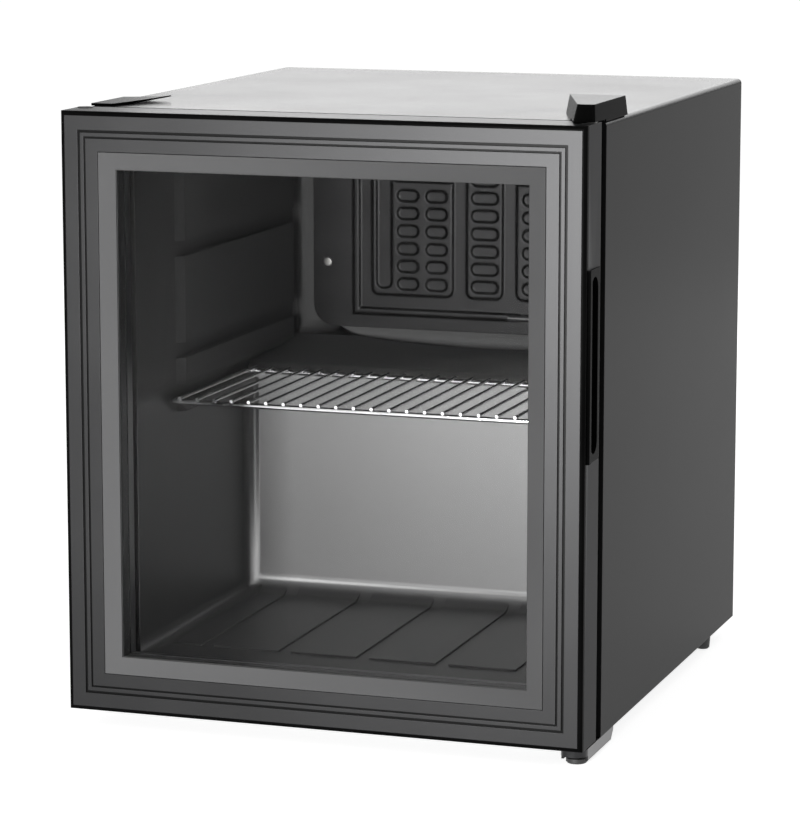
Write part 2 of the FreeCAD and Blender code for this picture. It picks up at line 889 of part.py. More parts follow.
def drain_path(radius):
    y = cavity_back - drain_setback
    top = hump_top + hump_rise - 2 * trough_drop + cut_overrun
    return sided_hole(radius, at(0, y, tray_bottom + tray_height - drain_drop), at(0, y, top), 8)


def drain_tube():
    """Drain from the trough down through the foam to the tray over the compressor."""
    y = cavity_back - drain_setback
    top = hump_top + hump_rise - 2 * trough_drop
    bottom = tray_bottom + tray_height - drain_drop
    tube = sided_bar(drain_radius, at(0, y, bottom), at(0, y, top), 8)
    return drill(tube, drain_radius - 2 * drain_wall, at(0, y, bottom), at(0, y, top))


def compressor_rail():
    """Base plate across the machine room, folded up at the front and the back."""
    half = half_width - sheet - rail_side_gap
    front = room_front + sheet + rail_setback
    back = cabinet_back - rail_setback
    base = cabinet_bottom + sheet
    path = [(front, base + rail_flange), (front, base), (back, base), (back, base + rail_flange)]
    rail = bent_sheet_along_x(path, rail_sheet, -half, half)
    for x, y in grommet_places():
        rail = drill(rail, bolt_radius + pin_fit, at(x, y, base), at(x, y, rail_top))
    return rail


def grommet_places():
    across = compressor_foot_reach - compressor_foot_edge
    along = compressor_foot_depth - compressor_foot_edge
    return [(compressor_offset + i * across, compressor_y + j * along) for i in (-1, 1) for j in (-1, 1)]


def compressor():
    """Hermetic compressor: a lower pot, a welded seam, an upper pot and a foot plate."""
    seam = pot_bottom + compressor_height * seam_share
    outer = compressor_radius
    inner = compressor_radius - compressor_seam
    dome = compressor_dome
    outline = [(inner - dome, pot_bottom), (inner - dome / 4, pot_bottom + dome / 3),
               (inner, pot_bottom + dome), (inner, seam), (outer, seam),
               (outer, seam + compressor_seam), (inner, seam + compressor_seam),
               (inner, pot_top - dome), (inner - dome / 4, pot_top - dome / 3), (inner - dome, pot_top)]
    pot = turned(outline, compressor_offset, compressor_y, 24)
    foot = box(compressor_offset - compressor_foot_reach, compressor_offset + compressor_foot_reach,
               compressor_y - compressor_foot_depth, compressor_y + compressor_foot_depth,
               pot_bottom - compressor_foot_sheet, pot_bottom)
    for x, y in grommet_places():
        foot = drill(foot, bolt_radius + pin_fit, at(x, y, rail_top), at(x, y, pot_bottom))
    return pot.fuse(foot).removeSplitter()


def compressor_grommets():
    """Four rubber mounts between the rail and the compressor's foot plate."""
    top = rail_top + grommet_height
    mounts = []
    for x, y in grommet_places():
        body = sided_bar(grommet_radius, at(x, y, rail_top), at(x, y, top), 8)
        mounts.append(drill(body, bolt_radius + pin_fit, at(x, y, rail_top), at(x, y, top)))
    return Part.makeCompound(mounts)


def compressor_bolts():
    """Four bolts from below the rail, through the mounts, with the head on the foot plate."""
    bolts = []
    for x, y in grommet_places():
        shank = sided_bar(bolt_radius, at(x, y, cabinet_bottom + sheet), at(x, y, pot_bottom), 6)
        head = sided_bar(bolt_head, at(x, y, pot_bottom), at(x, y, pot_bottom + bolt_head_height), 6)
        bolts.append(shank.fuse(head))
    return Part.makeCompound(bolts)


def starter_relay():
    """Starter and overload cover, clipped to the side of the pot."""
    inner = compressor_radius - compressor_seam
    x1 = compressor_offset - inner / 2
    x0 = compressor_offset - inner - relay_width
    z0 = pot_bottom + compressor_height * seam_share + compressor_seam + bond_gap
    y0 = compressor_y - relay_depth / 2
    body = box(x0, x1, y0, y0 + relay_depth, z0, z0 + relay_height)
    pot = sided_hole(inner + pipe_end_gap, at(compressor_offset, compressor_y, z0 - cut_overrun),
                     at(compressor_offset, compressor_y, z0 + relay_height + cut_overrun), 24)
    body = body.cut(pot)
    body = max(body.Solids, key=lambda solid: solid.Volume)
    corners = [e for e in body.Edges
               if max(v.X for v in e.Vertexes) < x0 + bond_gap]
    return body.makeChamfer(thermostat_corner, corners)


def evaporation_tray():
    """Open tray over the compressor, where the drained water dries off."""
    x0 = compressor_offset - tray_width / 2
    x1 = compressor_offset + tray_width / 2
    y0 = compressor_y - tray_depth / 2
    y1 = compressor_y + tray_depth / 2
    top = tray_bottom + tray_height
    tray = box(x0, x1, y0, y1, tray_bottom, top)
    corners = [e for e in tray.Edges if abs(e.Vertexes[0].Z - e.Vertexes[1].Z) > tray_height / 2]
    tray = tray.makeChamfer(thermostat_corner, corners)
    hollow = box(x0 + tray_wall, x1 - tray_wall, y0 + tray_wall, y1 - tray_wall,
                 tray_bottom + tray_wall, top + cut_overrun)
    corners = [e for e in hollow.Edges if abs(e.Vertexes[0].Z - e.Vertexes[1].Z) > tray_height / 2]
    hollow = hollow.makeChamfer(thermostat_corner - tray_wall, corners)
    seat = sided_bar(compressor_dome, at(compressor_offset, compressor_y, pot_top),
                     at(compressor_offset, compressor_y, tray_bottom), 12)
    return tray.cut(hollow).fuse(seat).removeSplitter()


def mains_clamp():
    """Inlet clamp on the rail's back fold, where the mains lead would enter."""
    back = cabinet_back - rail_setback
    x = compressor_offset - clamp_offset
    y0 = back - rail_sheet - clamp_depth
    y1 = back - rail_sheet
    z0 = rail_top
    body = box(x - clamp_width / 2, x + clamp_width / 2, y0, y1, z0, z0 + clamp_height)
    rounding = [e for e in body.Edges
                if abs(e.Vertexes[0].Y - e.Vertexes[1].Y) > clamp_depth / 2
                and e.Vertexes[0].Z > z0 + clamp_height / 2]
    body = body.makeChamfer(clamp_bore, rounding)
    z = z0 + clamp_height / 2
    return drill(body, clamp_bore, at(x, y0, z), at(x, y1, z))


def suction_z():
    return plate_bottom + (plate_top - plate_bottom) * suction_share


def suction_path():
    """From the evaporator's foot channel, through the back, down and in to the compressor's side."""
    y = plate_front - channel_height - pipe_radius
    z = suction_z()
    x = min(suction_offset, plate_half - notch_width / 2)
    behind = panel_back + suction_wall_gap + pipe_bend
    level = pot_bottom + suction_rise
    start = 2 * plate_half * suction_start_share - pipe_bend
    return [at(start, y, z), at(x, y, z), at(x, behind, z), at(x, behind, level),
            at(x, compressor_y, level), at(pot_side(), compressor_y, level)]


def pot_side():
    return compressor_offset + compressor_radius - compressor_seam + pipe_end_gap / 2


def suction_line():
    return pipe(bent_path(suction_path(), pipe_bend, bend_chords), pipe_radius, 8)


def suction_hole():
    path = suction_path()
    return sided_hole(pipe_radius + pipe_hole_gap, at(path[1].x, cavity_back - cut_overrun, path[1].z),
                      at(path[1].x, panel_back + cut_overrun, path[1].z), 8)


def condenser_levels():
    pitch = (condenser_top - condenser_bottom) / (condenser_passes - 1)
    return [condenser_top - i * pitch for i in range(condenser_passes)]


def condenser_tube():
    """Flat serpentine of horizontal passes, whose last end turns down to the drier."""
    levels = condenser_levels()
    bend = (levels[0] - levels[1] - condenser_tube_radius) / 2
    points = [at(discharge_x() - 2 * pipe_bend, condenser_y, levels[0])]
    side = -1
    for upper, lower in zip(levels, levels[1:]):
        points += [at(side * condenser_half, condenser_y, z) for z in (upper, lower)]
        side = -side
    points.append(at(drier_x() - 2 * pipe_bend, condenser_y, levels[-1]))
    tail = [points[-1], at(drier_x(), condenser_y, levels[-1]), at(drier_x(), condenser_y, drier_top())]
    path = bent_path(points, bend, bend_chords) + bent_path(tail, pipe_bend, bend_chords)[1:]
    return pipe(path, condenser_tube_radius, 6)


def discharge_x():
    return half_width - discharge_side_gap


def drier_x():
    return condenser_half + 2 * condenser_tube_radius


def drier_top():
    return room_top - drier_neck


def drier():
    """Filter drier: a copper capsule drawn in at both ends."""
    x = drier_x()
    y = condenser_y
    top = drier_top()
    bottom = top - drier_length
    neck = drier_neck
    outline = [(neck, bottom), (neck, bottom + neck), (drier_radius, bottom + 4 * neck),
               (drier_radius, top - 4 * neck), (neck, top - neck), (neck, top)]
    return turned(outline, x, y, 12)


def discharge_line():
    """From the compressor's side out to the casing and up to the condenser's first pass."""
    level = pot_bottom + discharge_level
    x = discharge_x()
    start = at(pot_side(), compressor_y, level)
    top = at(x - 2 * pipe_bend, condenser_y, condenser_top)
    points = [start, at(x, compressor_y, level), at(x, condenser_y, level),
              at(x, condenser_y, condenser_top), top]
    return pipe(bent_path(points, pipe_bend, bend_chords), condenser_tube_radius, 6)


def capillary_path():
    y = plate_front - channel_height - capillary_radius
    z = plate_bottom + notch_height * capillary_share
    x = plate_half - notch_width / 5
    behind = panel_back + suction_wall_gap + capillary_bend
    low = drier_top() - drier_length - 3 * capillary_bend
    return [at(drier_x(), condenser_y, drier_top() - drier_length), at(drier_x(), condenser_y, low),
            at(x, condenser_y, low), at(x, behind, low), at(x, behind, z), at(x, y, z),
            at(2 * plate_half * edge_channel_shares[0], y, z)]


def capillary_tube():
    return pipe(bent_path(capillary_path(), capillary_bend, fine_bend_chords), capillary_radius, 5)


def capillary_hole():
    path = capillary_path()
    return sided_hole(capillary_radius + pipe_hole_gap, at(path[4].x, cavity_back - cut_overrun, path[4].z),
                      at(path[4].x, panel_back + cut_overrun, path[4].z), 8)


def condenser_wire_set():
    """Upright wires on both sides of the tube, fixed to every pass."""
    top = condenser_top + wire_overhang
    bottom = condenser_bottom - wire_overhang
    offset = condenser_tube_radius + wire_radius
    wires = []
    for y in (condenser_y - offset, condenser_y + offset):
        for x in wire_places():
            wires.append(sided_bar(wire_radius, at(x, y, bottom), at(x, y, top), 4))
    return Part.makeCompound(wires)


def wire_places():
    levels = condenser_levels()
    half = condenser_half - (levels[0] - levels[1]) / 2
    pitch = 2 * half / (condenser_wires - 1)
    return [-half + i * pitch for i in range(condenser_wires)]


def bracket_places():
    """The saddles grip the second and the last pass but one, each midway between two wires."""
    levels = condenser_levels()
    wires = wire_places()
    left = (wires[1] + wires[2]) / 2
    right = (wires[-2] + wires[-3]) / 2
    return [(x, z) for x in (left, right) for z in (levels[1], levels[-2])]


def bracket_screw_places():
    return [(x, z + bracket_height / 2 + bracket_foot / 2) for x, z in bracket_places()]


def condenser_brackets():
    """Four saddles that hold the condenser's tube off the back panel, each with a foot for its screw."""
    saddles = []
    for x, z in bracket_places():
        left = x - bracket_width / 2
        right = x + bracket_width / 2
        top = z + bracket_height / 2
        body = box(left, right, panel_back, condenser_y + condenser_tube_radius + bracket_sheet,
                   z - bracket_height / 2, top)
        foot = box(left, right, panel_back, panel_back + bracket_sheet, top, top + bracket_foot)
        bore = sided_hole(condenser_tube_radius + bracket_gap, at(left - cut_overrun, condenser_y, z),
                          at(right + cut_overrun, condenser_y, z), 6)
        saddles.append(body.fuse(foot).removeSplitter().cut(bore))
    for i, (x, z) in enumerate(bracket_screw_places()):
        seat = at(x, panel_back + bracket_sheet, z)
        saddles[i] = drill(saddles[i], wire_radius + pin_fit, at(x, panel_back, z), seat)
    return Part.makeCompound(saddles)


def condenser_screws():
    """One screw through the foot of each saddle."""
    screws = []
    for x, z in bracket_screw_places():
        seat = panel_back + bracket_sheet
        head = sided_bar(plate_screw_head, at(x, seat, z), at(x, seat + plate_screw_head_height, z), 6)
        shank = sided_bar(wire_radius, at(x, panel_back - bracket_screw_length, z), at(x, seat, z), 4)
        screws.append(head.fuse(shank))
    return Part.makeCompound(screws)


# Door

def door_edge_trim():
    """Dark edge moulding round the door's face, rounded towards the front."""
    body = door_panel(0, 0, trim_depth)
    rim = [e for e in body.Edges if max(v.Y for v in e.Vertexes) < door_front + trim_depth / 2]
    body = body.makeFillet(trim_round, rim)
    return body.cut(door_panel(trim_width, -cut_overrun, trim_depth + cut_overrun))


def door_face_frame():
    """Flat front frame with two fine grooves that run all round it."""
    body = door_ring(trim_width, face_inset, 0, face_sheet)
    grooves = ((outer_groove_inset, outer_groove_width), (inner_groove_inset, inner_groove_width))
    for inset, width in grooves:
        groove = door_ring(inset - width / 2, inset + width / 2, -cut_overrun, groove_depth)
        body = body.cut(groove)
    return body


def door_bevel_trim():
    """Mitred frame whose face slopes in towards the glass."""
    outer = face_inset + bevel_gap
    body = door_ring(outer, bevel_inset, 0, bevel_back)
    slope = (bevel_inset - outer) / bevel_drop
    cutter = door_frustum(outer, 0, bevel_inset + slope * cut_overrun, bevel_drop + cut_overrun)
    return body.cut(cutter)


def glazing_seal():
    """Dark rubber lip between the bevel and the outer glass, just proud of the bevel's inner edge."""
    y0 = bevel_back
    return door_ring(seal_inset, bevel_inset + seal_show, y0, y0 + seal_lip)


def outer_glass():
    y0 = bevel_back + seal_lip
    return door_panel(glass_inset, y0, y0 + glass_sheet)


def glass_spacer():
    """Hollow-bar spacer that holds the two panes apart."""
    y0 = bevel_back + seal_lip + glass_sheet
    return door_ring(glass_inset, glass_inset + spacer_width, y0, y0 + spacer_depth)


def inner_glass():
    y0 = bevel_back + seal_lip + glass_sheet + spacer_depth
    return door_panel(glass_inset, y0, y0 + glass_sheet)


def glazing_back():
    return bevel_back + seal_lip + 2 * glass_sheet + spacer_depth


def door_core_frame():
    """Main frame of the door: carries the glazing, the grips, the bushes and the rear frame."""
    body = door_panel(0, trim_depth, door_thickness).fuse(door_panel(trim_width, face_sheet, trim_depth))
    body = body.cut(door_panel(glass_inset - glazing_gap, 0, door_thickness + cut_overrun))
    body = body.cut(door_panel(face_inset, 0, bevel_back))
    body = body.cut(door_panel(seal_inset, 0, bevel_back + seal_lip))
    body = body.cut(door_panel(rear_border, door_thickness - rear_sheet, door_thickness + cut_overrun))
    for side in (-1, 1):
        body = body.cut(grip_recess(side))
    for x, z, y in door_screw_places():
        body = drill(body, door_screw_radius + pin_fit, at(x, y - door_screw_length, z), at(x, y, z))
    for x in (-pin_x, pin_x):
        for z, way in ((door_bottom, 1), (door_top, -1)):
            body = body.cut(sided_hole(bush_radius + bush_fit, at(x, pin_y, z - way * cut_overrun),
                                       at(x, pin_y, z + way * (bush_length + bush_fit)), 12))
    return body.removeSplitter()


def door_rear_frame():
    """Inner frame: a flat ring with the gasket groove, and a collar that flares from the glass."""
    ring = door_ring(rear_border + bush_fit, reveal_back_inset, door_thickness - rear_sheet, door_thickness)
    collar = door_ring(glass_inset, reveal_front_inset + rear_sheet, glazing_back(), door_thickness)
    body = ring.fuse(collar)
    flare = door_frustum(reveal_front_inset, glazing_back(), reveal_back_inset, door_thickness)
    spare = door_panel(reveal_back_inset, door_thickness, door_thickness + cut_overrun)
    body = body.cut(flare).cut(spare)
    groove_inset = gasket_inset + (gasket_width - gasket_dart_width) / 2 - bush_fit
    groove = door_ring(groove_inset, groove_inset + gasket_dart_width + 2 * bush_fit,
                       door_thickness - gasket_dart_depth - bush_fit, door_thickness + cut_overrun)
    body = body.cut(groove)
    for x, z, y in door_screw_places():
        body = drill(body, door_screw_radius + pin_fit, at(x, y - rear_sheet, z), at(x, y, z))
        body = body.cut(sided_hole(door_screw_head + pin_fit, at(x, y - door_screw_head_height, z),
                                   at(x, y + cut_overrun, z), 8))
    return body.removeSplitter()


def door_screw_places():
    """Screw axes on the rear frame, with the Y of its face: three on each side."""
    x = half_width - door_screw_inset
    low = door_bottom + door_screw_inset
    high = door_top - door_screw_inset
    middle = (low + high) / 2
    y = door_front + door_thickness
    return [(side * x, z, y) for side in (-1, 1) for z in (low, middle, high)]


def door_screws():
    screws = []
    for x, z, y in door_screw_places():
        seat = at(x, y - door_screw_head_height, z)
        head = sided_bar(door_screw_head, seat, at(x, y, z), 8)
        shank = sided_bar(door_screw_radius, at(x, y - door_screw_length, z), seat, 6)
        screws.append(head.fuse(shank))
    return Part.makeCompound(screws)


def door_gasket():
    """Magnetic gasket: dart, base, soft neck and bulb, as one ring."""
    y0 = door_thickness
    y3 = door_thickness + door_gap - gasket_rest_gap
    y2 = y3 - gasket_bulb
    y1 = y0 + gasket_base
    middle = gasket_inset + gasket_width / 2
    dart_half = gasket_dart_width / 2
    dart = door_ring(middle - dart_half, middle + dart_half, y0 - gasket_dart_depth, y0)
    base_half = gasket_neck / 2 + gasket_dart_width
    base = door_ring(middle - base_half, middle + base_half, y0, y1)
    neck = door_ring(middle - gasket_neck / 2, middle + gasket_neck / 2, y1, y2)
    bulb = door_ring(gasket_inset, gasket_inset + gasket_width, y2, y3)
    body = dart.fuse([base, neck, bulb]).removeSplitter()
    magnet_back = y3 - (gasket_bulb - magnet_depth) / 2
    pocket = door_ring(middle - magnet_width / 2 - magnet_gap, gasket_inset + gasket_width + cut_overrun,
                       magnet_back - magnet_depth - magnet_gap, magnet_back + magnet_gap)
    return body.cut(pocket)


def gasket_magnets():
    """Four magnet strips in the gasket's pocket."""
    y3 = door_thickness + door_gap - gasket_rest_gap
    middle = gasket_inset + gasket_width / 2
    back = y3 - (gasket_bulb - magnet_depth) / 2
    inner = middle + magnet_width / 2
    outer = middle - magnet_width / 2
    ring = door_ring(outer, inner, back - magnet_depth, back)
    mitre = magnet_gap
    strips = []
    for sign in (-1, 1):
        x0, x1 = sorted((sign * (half_width - outer), sign * (half_width - inner)))
        strips.append(ring.common(box(x0, x1, door_front, cabinet_front, door_bottom + inner + mitre,
                                      door_top - inner - mitre)))
    for z0, z1 in ((door_bottom + outer, door_bottom + inner), (door_top - inner, door_top - outer)):
        strips.append(ring.common(box(-half_width, half_width, door_front, cabinet_front, z0, z1)))
    return Part.makeCompound([s for strip in strips for s in strip.Solids])


# Grips

def grip_span():
    return door_bottom + grip_level, door_bottom + grip_level + grip_height


def slot_block(side, grow, depth, proud):
    """Pocket of a grip: a long slot with round ends, square to the door's side."""
    low, high = grip_span()
    y0 = door_front + slot_front - grow
    y1 = door_front + slot_back + grow
    z0 = low + slot_end_gap - grow
    z1 = high - slot_end_gap + grow
    x0, x1 = sorted((side * (half_width - depth), side * (half_width + proud)))
    radius = (y1 - y0) / 2
    points = []
    for middle, first in ((z0 + radius, 180), (z1 - radius, 0)):
        for i in range(slot_end_chords + 1):
            angle = math.radians(first + i * 180 / slot_end_chords)
            points.append(at(x0, y0 + radius + radius * math.cos(angle), middle + radius * math.sin(angle)))
    return prism(points, at(x1 - x0, 0, 0))


def grip_recess(side):
    return slot_block(side, grip_wall + grip_fit, slot_depth + grip_wall + grip_fit, cut_overrun)


def grip(side):
    """Grip insert: a pocket with a proud flange, whose front edge is a raised lip."""
    low, high = grip_span()
    face = side * half_width
    plan = [at(face, door_front + trim_depth, low),
            at(face + side * grip_proud, door_front + trim_depth + grip_proud, low),
            at(face + side * grip_proud, door_front + trim_depth + grip_lip, low),
            at(face + side * grip_face_proud, door_front + trim_depth + grip_lip + grip_face_proud, low),
            at(face + side * grip_face_proud, door_front + grip_back - grip_face_proud, low),
            at(face, door_front + grip_back, low)]
    flange = prism(plan, at(0, 0, high - low))
    cup = slot_block(side, grip_wall, slot_depth + grip_wall, 0)
    body = flange.fuse(cup)
    return body.cut(slot_block(side, 0, slot_depth, 2 * grip_proud)).removeSplitter()


# Hinges

def bush(z, way):
    """Flanged bush that is pressed into the door at the given height."""
    flange = sided_bar(bush_flange, at(pin_x, pin_y, z), at(pin_x, pin_y, z - way * bush_flange_sheet), 12)
    body = sided_bar(bush_radius, at(pin_x, pin_y, z), at(pin_x, pin_y, z + way * bush_length), 12)
    bore = sided_hole(pin_radius + pin_fit, at(pin_x, pin_y, z - way * (bush_flange_sheet + cut_overrun)),
                      at(pin_x, pin_y, z + way * (pin_reach + pin_fit)), 16)
    return flange.fuse(body).removeSplitter().cut(bore)


def hole_plugs():
    """Plugs in the unused bush holes on the door's left, above and below."""
    plugs = []
    for z, way in ((door_bottom, 1), (door_top, -1)):
        seat = at(-pin_x, pin_y, z)
        head = sided_bar(bush_flange, seat, at(-pin_x, pin_y, z - way * bush_flange_sheet), 12)
        body = sided_bar(bush_radius, seat, at(-pin_x, pin_y, z + way * bush_length / 2), 12)
        plugs.append(head.fuse(body).removeSplitter())
    return Part.makeCompound(plugs)


def hinge_plate_x():
    right = half_width - cover_side_gap - cover_side_draft - cover_wall - bond_gap
    return right - hinge_plate_width, right


def hinge_plate_y():
    front = cabinet_front + hinge_plate_setback
    return front, front + hinge_plate_depth


def top_hinge_bracket():
    """Pressed plate on the cabinet's top, stepped up to a tongue over the door."""
    x0, x1 = hinge_plate_x()
    y0, y1 = hinge_plate_y()
    low = cabinet_top
    high = tongue_bottom
    path = [(y1, low), (y0, low), (y0 - hinge_plate_setback / 2, high), (pin_y, high)]
    strip = bent_sheet_along_x(path, -hinge_sheet, x0, x1)
    left = pin_x - tongue_radius
    right = pin_x + tongue_radius
    trim = box(x0 - cut_overrun, left, pin_y - cut_overrun, y0, low - cut_overrun, high + 2 * hinge_sheet)
    body = strip.cut(trim)
    body = body.cut(box(right, right + hinge_plate_width, pin_y - cut_overrun, y1 + cut_overrun,
                        low - cut_overrun, high + 2 * hinge_sheet))
    nose = sided_bar(tongue_radius, at(pin_x, pin_y, high), at(pin_x, pin_y, high + hinge_sheet), 20)
    body = body.fuse(nose).removeSplitter()
    body = drill(body, pin_radius, at(pin_x, pin_y, high), at(pin_x, pin_y, high + hinge_sheet))
    for x, y in top_screw_places():
        body = drill(body, hinge_screw_radius + pin_fit, at(x, y, low), at(x, y, low + hinge_sheet))
    return body


def top_screw_places():
    x0, x1 = hinge_plate_x()
    y0, y1 = hinge_plate_y()
    x = x0 + hinge_plate_width / 2
    return [(x, y0 + hinge_plate_depth / 4), (x, y1 - hinge_plate_depth / 4)]


def hinge_screws(places, z, way):
    """Hex-headed screws: the head's seat is at Z, and the shank runs away from the way given."""
    screws = []
    for x, y in places:
        head = sided_bar(hinge_screw_head, at(x, y, z), at(x, y, z + way * hinge_screw_head_height), 6)
        shank = sided_bar(hinge_screw_radius, at(x, y, z), at(x, y, z - way * hinge_screw_length), 8)
        screws.append(head.fuse(shank).removeSplitter())
    return Part.makeCompound(screws)


def top_hinge_pin():
    top = tongue_bottom + hinge_sheet
    shaft = sided_bar(pin_radius, at(pin_x, pin_y, door_top - pin_reach), at(pin_x, pin_y, top), 16)
    head = sided_bar(pin_head, at(pin_x, pin_y, top), at(pin_x, pin_y, top + pin_head_height), 8)
    return shaft.fuse(head).removeSplitter()


def bottom_hinge_pin():
    top = cabinet_bottom
    seat = top - hinge_sheet
    shaft = sided_bar(pin_radius, at(pin_x, pin_y, seat), at(pin_x, pin_y, door_bottom + pin_reach), 16)
    head = sided_bar(pin_head, at(pin_x, pin_y, seat), at(pin_x, pin_y, seat - pin_head_height), 8)
    return shaft.fuse(head).removeSplitter()


def cover_outline(z, right, front_width, width, nose_reach, back):
    """Plan of the hinge cover at one height: round nose over the pin, wedge-shaped behind it."""
    front = pin_y - nose_reach / 2
    left = right - front_width
    middle = (left + right) / 2
    points = []
    for i in range(cover_nose_chords + 1):
        angle = math.pi * i / cover_nose_chords
        x = middle + front_width / 2 * math.cos(angle)
        points.append(at(x, front - nose_reach / 2 * math.sin(angle), z))
    return points + [at(right - width, back, z), at(right, back, z)]


def cover_solid(shrink):
    low = cabinet_top
    high = cabinet_top + cover_height - shrink
    right = half_width - cover_side_gap - shrink
    back = cabinet_front + cover_depth - pin_back_inset - door_gap - shrink
    lower = cover_outline(low, right, cover_front_width - 2 * shrink, cover_width - 2 * shrink,
                          cover_nose_reach - shrink, back)
    upper = cover_outline(high, right - cover_side_draft, cover_top_front_width - 2 * shrink,
                          cover_top_width - 2 * shrink, cover_top_nose_reach - shrink, back)
    return skinned([lower, upper])


def top_hinge_cover():
    """Hollow moulded cover over the top hinge. It clears the door and rests on the cabinet."""
    body = cover_solid(0).cut(cover_solid(cover_wall))
    over_door = box(0, cabinet_width, door_front - cover_height, cabinet_front - bond_gap,
                    cabinet_top - cut_overrun, door_top + cover_door_gap)
    return body.cut(over_door)


def hinge_blank_cover():
    """Thin cap over the unused hinge holes on the left, which lifts a little at its inner back corner."""
    x0 = -half_width + cover_side_gap
    y0 = cabinet_front + blank_setback
    y1 = y0 + blank_depth
    z0 = cabinet_top
    plan = [(x0, y0), (x0 + blank_width * blank_front_share, y0), (x0 + blank_width, y1), (x0, y1)]
    tops = (blank_low, blank_low, blank_high, blank_low)
    low = Part.makePolygon([at(x, y, z0) for x, y in plan + plan[:1]])
    block = Part.Face(low).extrude(at(0, 0, blank_high))
    a, b, c, d = [at(x, y, z0 + h) for (x, y), h in zip(plan, tops)]
    lid = at(0, 0, blank_high)
    for first, second, third in ((a, b, c), (a, c, d)):
        wedge = prism([first, second, third], lid)
        block = block.cut(wedge)
    return block


def lower_plate_x():
    return half_width - lower_plate_width, half_width


def lower_hinge_bracket():
    """Steel channel under the door: flat plate with a round, lipped front and two side flanges."""
    x0, x1 = lower_plate_x()
    radius = lower_plate_width / 2
    middle = x0 + radius
    y0 = door_front + lower_plate_front + radius
    y1 = cabinet_front + lower_plate_reach
    top = cabinet_bottom
    plate = box(x0, x1, y0, y1, top - hinge_sheet, top)
    plate = plate.fuse(sided_bar(radius, at(middle, y0, top - hinge_sheet), at(middle, y0, top), 28))
    lip = sided_bar(radius, at(middle, y0, top - hinge_sheet - lower_lip_height),
                    at(middle, y0, top - hinge_sheet), 28)
    lip = lip.cut(sided_bar(radius - hinge_sheet, at(middle, y0, 0), at(middle, y0, top), 28))
    lip = lip.cut(box(x0 - cut_overrun, x1 + cut_overrun, y0, y1, 0, top))
    body = plate.fuse(lip)
    for left, right, back in ((x0, x0 + hinge_sheet, cabinet_front), (x1 - hinge_sheet, x1, y1)):
        flange = box(left, right, y0, back, top - lower_flange_height, top - hinge_sheet)
        corner = [e for e in flange.Edges
                  if abs(e.Vertexes[0].X - e.Vertexes[1].X) > hinge_sheet / 2
                  and e.Vertexes[0].Y > back - hinge_sheet and e.Vertexes[0].Z < top - 2 * hinge_sheet]
        body = body.fuse(flange.makeChamfer(lower_flange_corner, corner))
    body = body.removeSplitter()
    holes = [(pin_radius, pin_x, pin_y), (foot_stud_radius + foot_stud_fit, *right_foot_place())]
    holes += [(hinge_screw_radius + pin_fit, x, y) for x, y in lower_screw_places()]
    for radius, x, y in holes:
        body = drill(body, radius, at(x, y, top - hinge_sheet), at(x, y, top))
    return body


def lower_screw_places():
    x0, x1 = lower_plate_x()
    x = x0 + lower_plate_width / 2
    return [(x, cabinet_front + lower_plate_reach * share) for share in lower_screw_shares]


# Feet

def right_foot_place():
    x0, x1 = lower_plate_x()
    return x0 + lower_plate_width / 2, pin_y - foot_pin_offset


def left_foot_place():
    return -half_width + left_foot_inset, cabinet_front + left_foot_setback


def screw_foot(x, y):
    """Levelling foot: a round pad with a chamfered rim and a threaded stud."""
    rim = foot_height / 4
    pad = turned([(foot_radius - rim, 0), (foot_radius, rim), (foot_radius, foot_height)], x, y, 20)
    collar = sided_bar(foot_radius / 2, at(x, y, foot_height), at(x, y, foot_height + 2 * rim), 6)
    stud = sided_bar(foot_stud_radius, at(x, y, foot_height), at(x, y, cabinet_bottom), 8)
    return pad.fuse([collar, stud]).removeSplitter()


def left_foot_plate():
    x, y = left_foot_place()
    plate = box(x - foot_plate_width / 2, x + foot_plate_width / 2, y - foot_plate_depth / 2,
                y + foot_plate_depth / 2, cabinet_bottom - hinge_sheet, cabinet_bottom)
    corners = [e for e in plate.Edges if abs(e.Vertexes[0].Z - e.Vertexes[1].Z) > hinge_sheet / 2]
    plate = plate.makeChamfer(lower_flange_corner, corners)
    underside = cabinet_bottom - hinge_sheet
    return drill(plate, foot_stud_radius + foot_stud_fit, at(x, y, underside), at(x, y, cabinet_bottom))


def rear_feet():
    y = cabinet_back - rear_foot_setback
    feet = []
    for side in (-1, 1):
        x = side * (half_width - rear_foot_inset)
        feet.append(turned([(rear_foot_tip, 0), (rear_foot_radius, cabinet_bottom)], x, y, 12))
    return Part.makeCompound(feet)


# Shelf

def wire_shelf():
    """Chromed shelf: a frame of four rods with wires laid across its front and back rods."""
    z = cavity_floor + lower_groove_level - groove_height / 2 + shelf_rest_gap + shelf_rod_radius
    y0 = cabinet_front + shelf_setback
    y1 = hump_front - shelf_back_gap
    half = cavity_half - shelf_side_gap - shelf_rod_radius
    front = sided_bar(shelf_rod_radius, at(-half, y0, z), at(half, y0, z), 8)
    back = sided_bar(shelf_rod_radius, at(-half, y1, z), at(half, y1, z), 8)
    sides = [sided_bar(shelf_rod_radius, at(x, y0, z), at(x, y1, z), 8) for x in (-half, half)]
    wire_half = half - shelf_wire_inset
    pitch = 2 * wire_half / (shelf_wire_count - 1)
    top = z + shelf_rod_radius * math.cos(math.pi / 8) + shelf_wire_radius * math.cos(math.pi / 6)
    first = y0 - shelf_wire_tail
    last = y1 + shelf_wire_tail
    wires = []
    for i in range(shelf_wire_count):
        x = -wire_half + i * pitch
        wires.append(sided_bar(shelf_wire_radius, at(x, first, top), at(x, last, top), 6))
    return Part.makeCompound([front.fuse([back] + sides)] + wires)


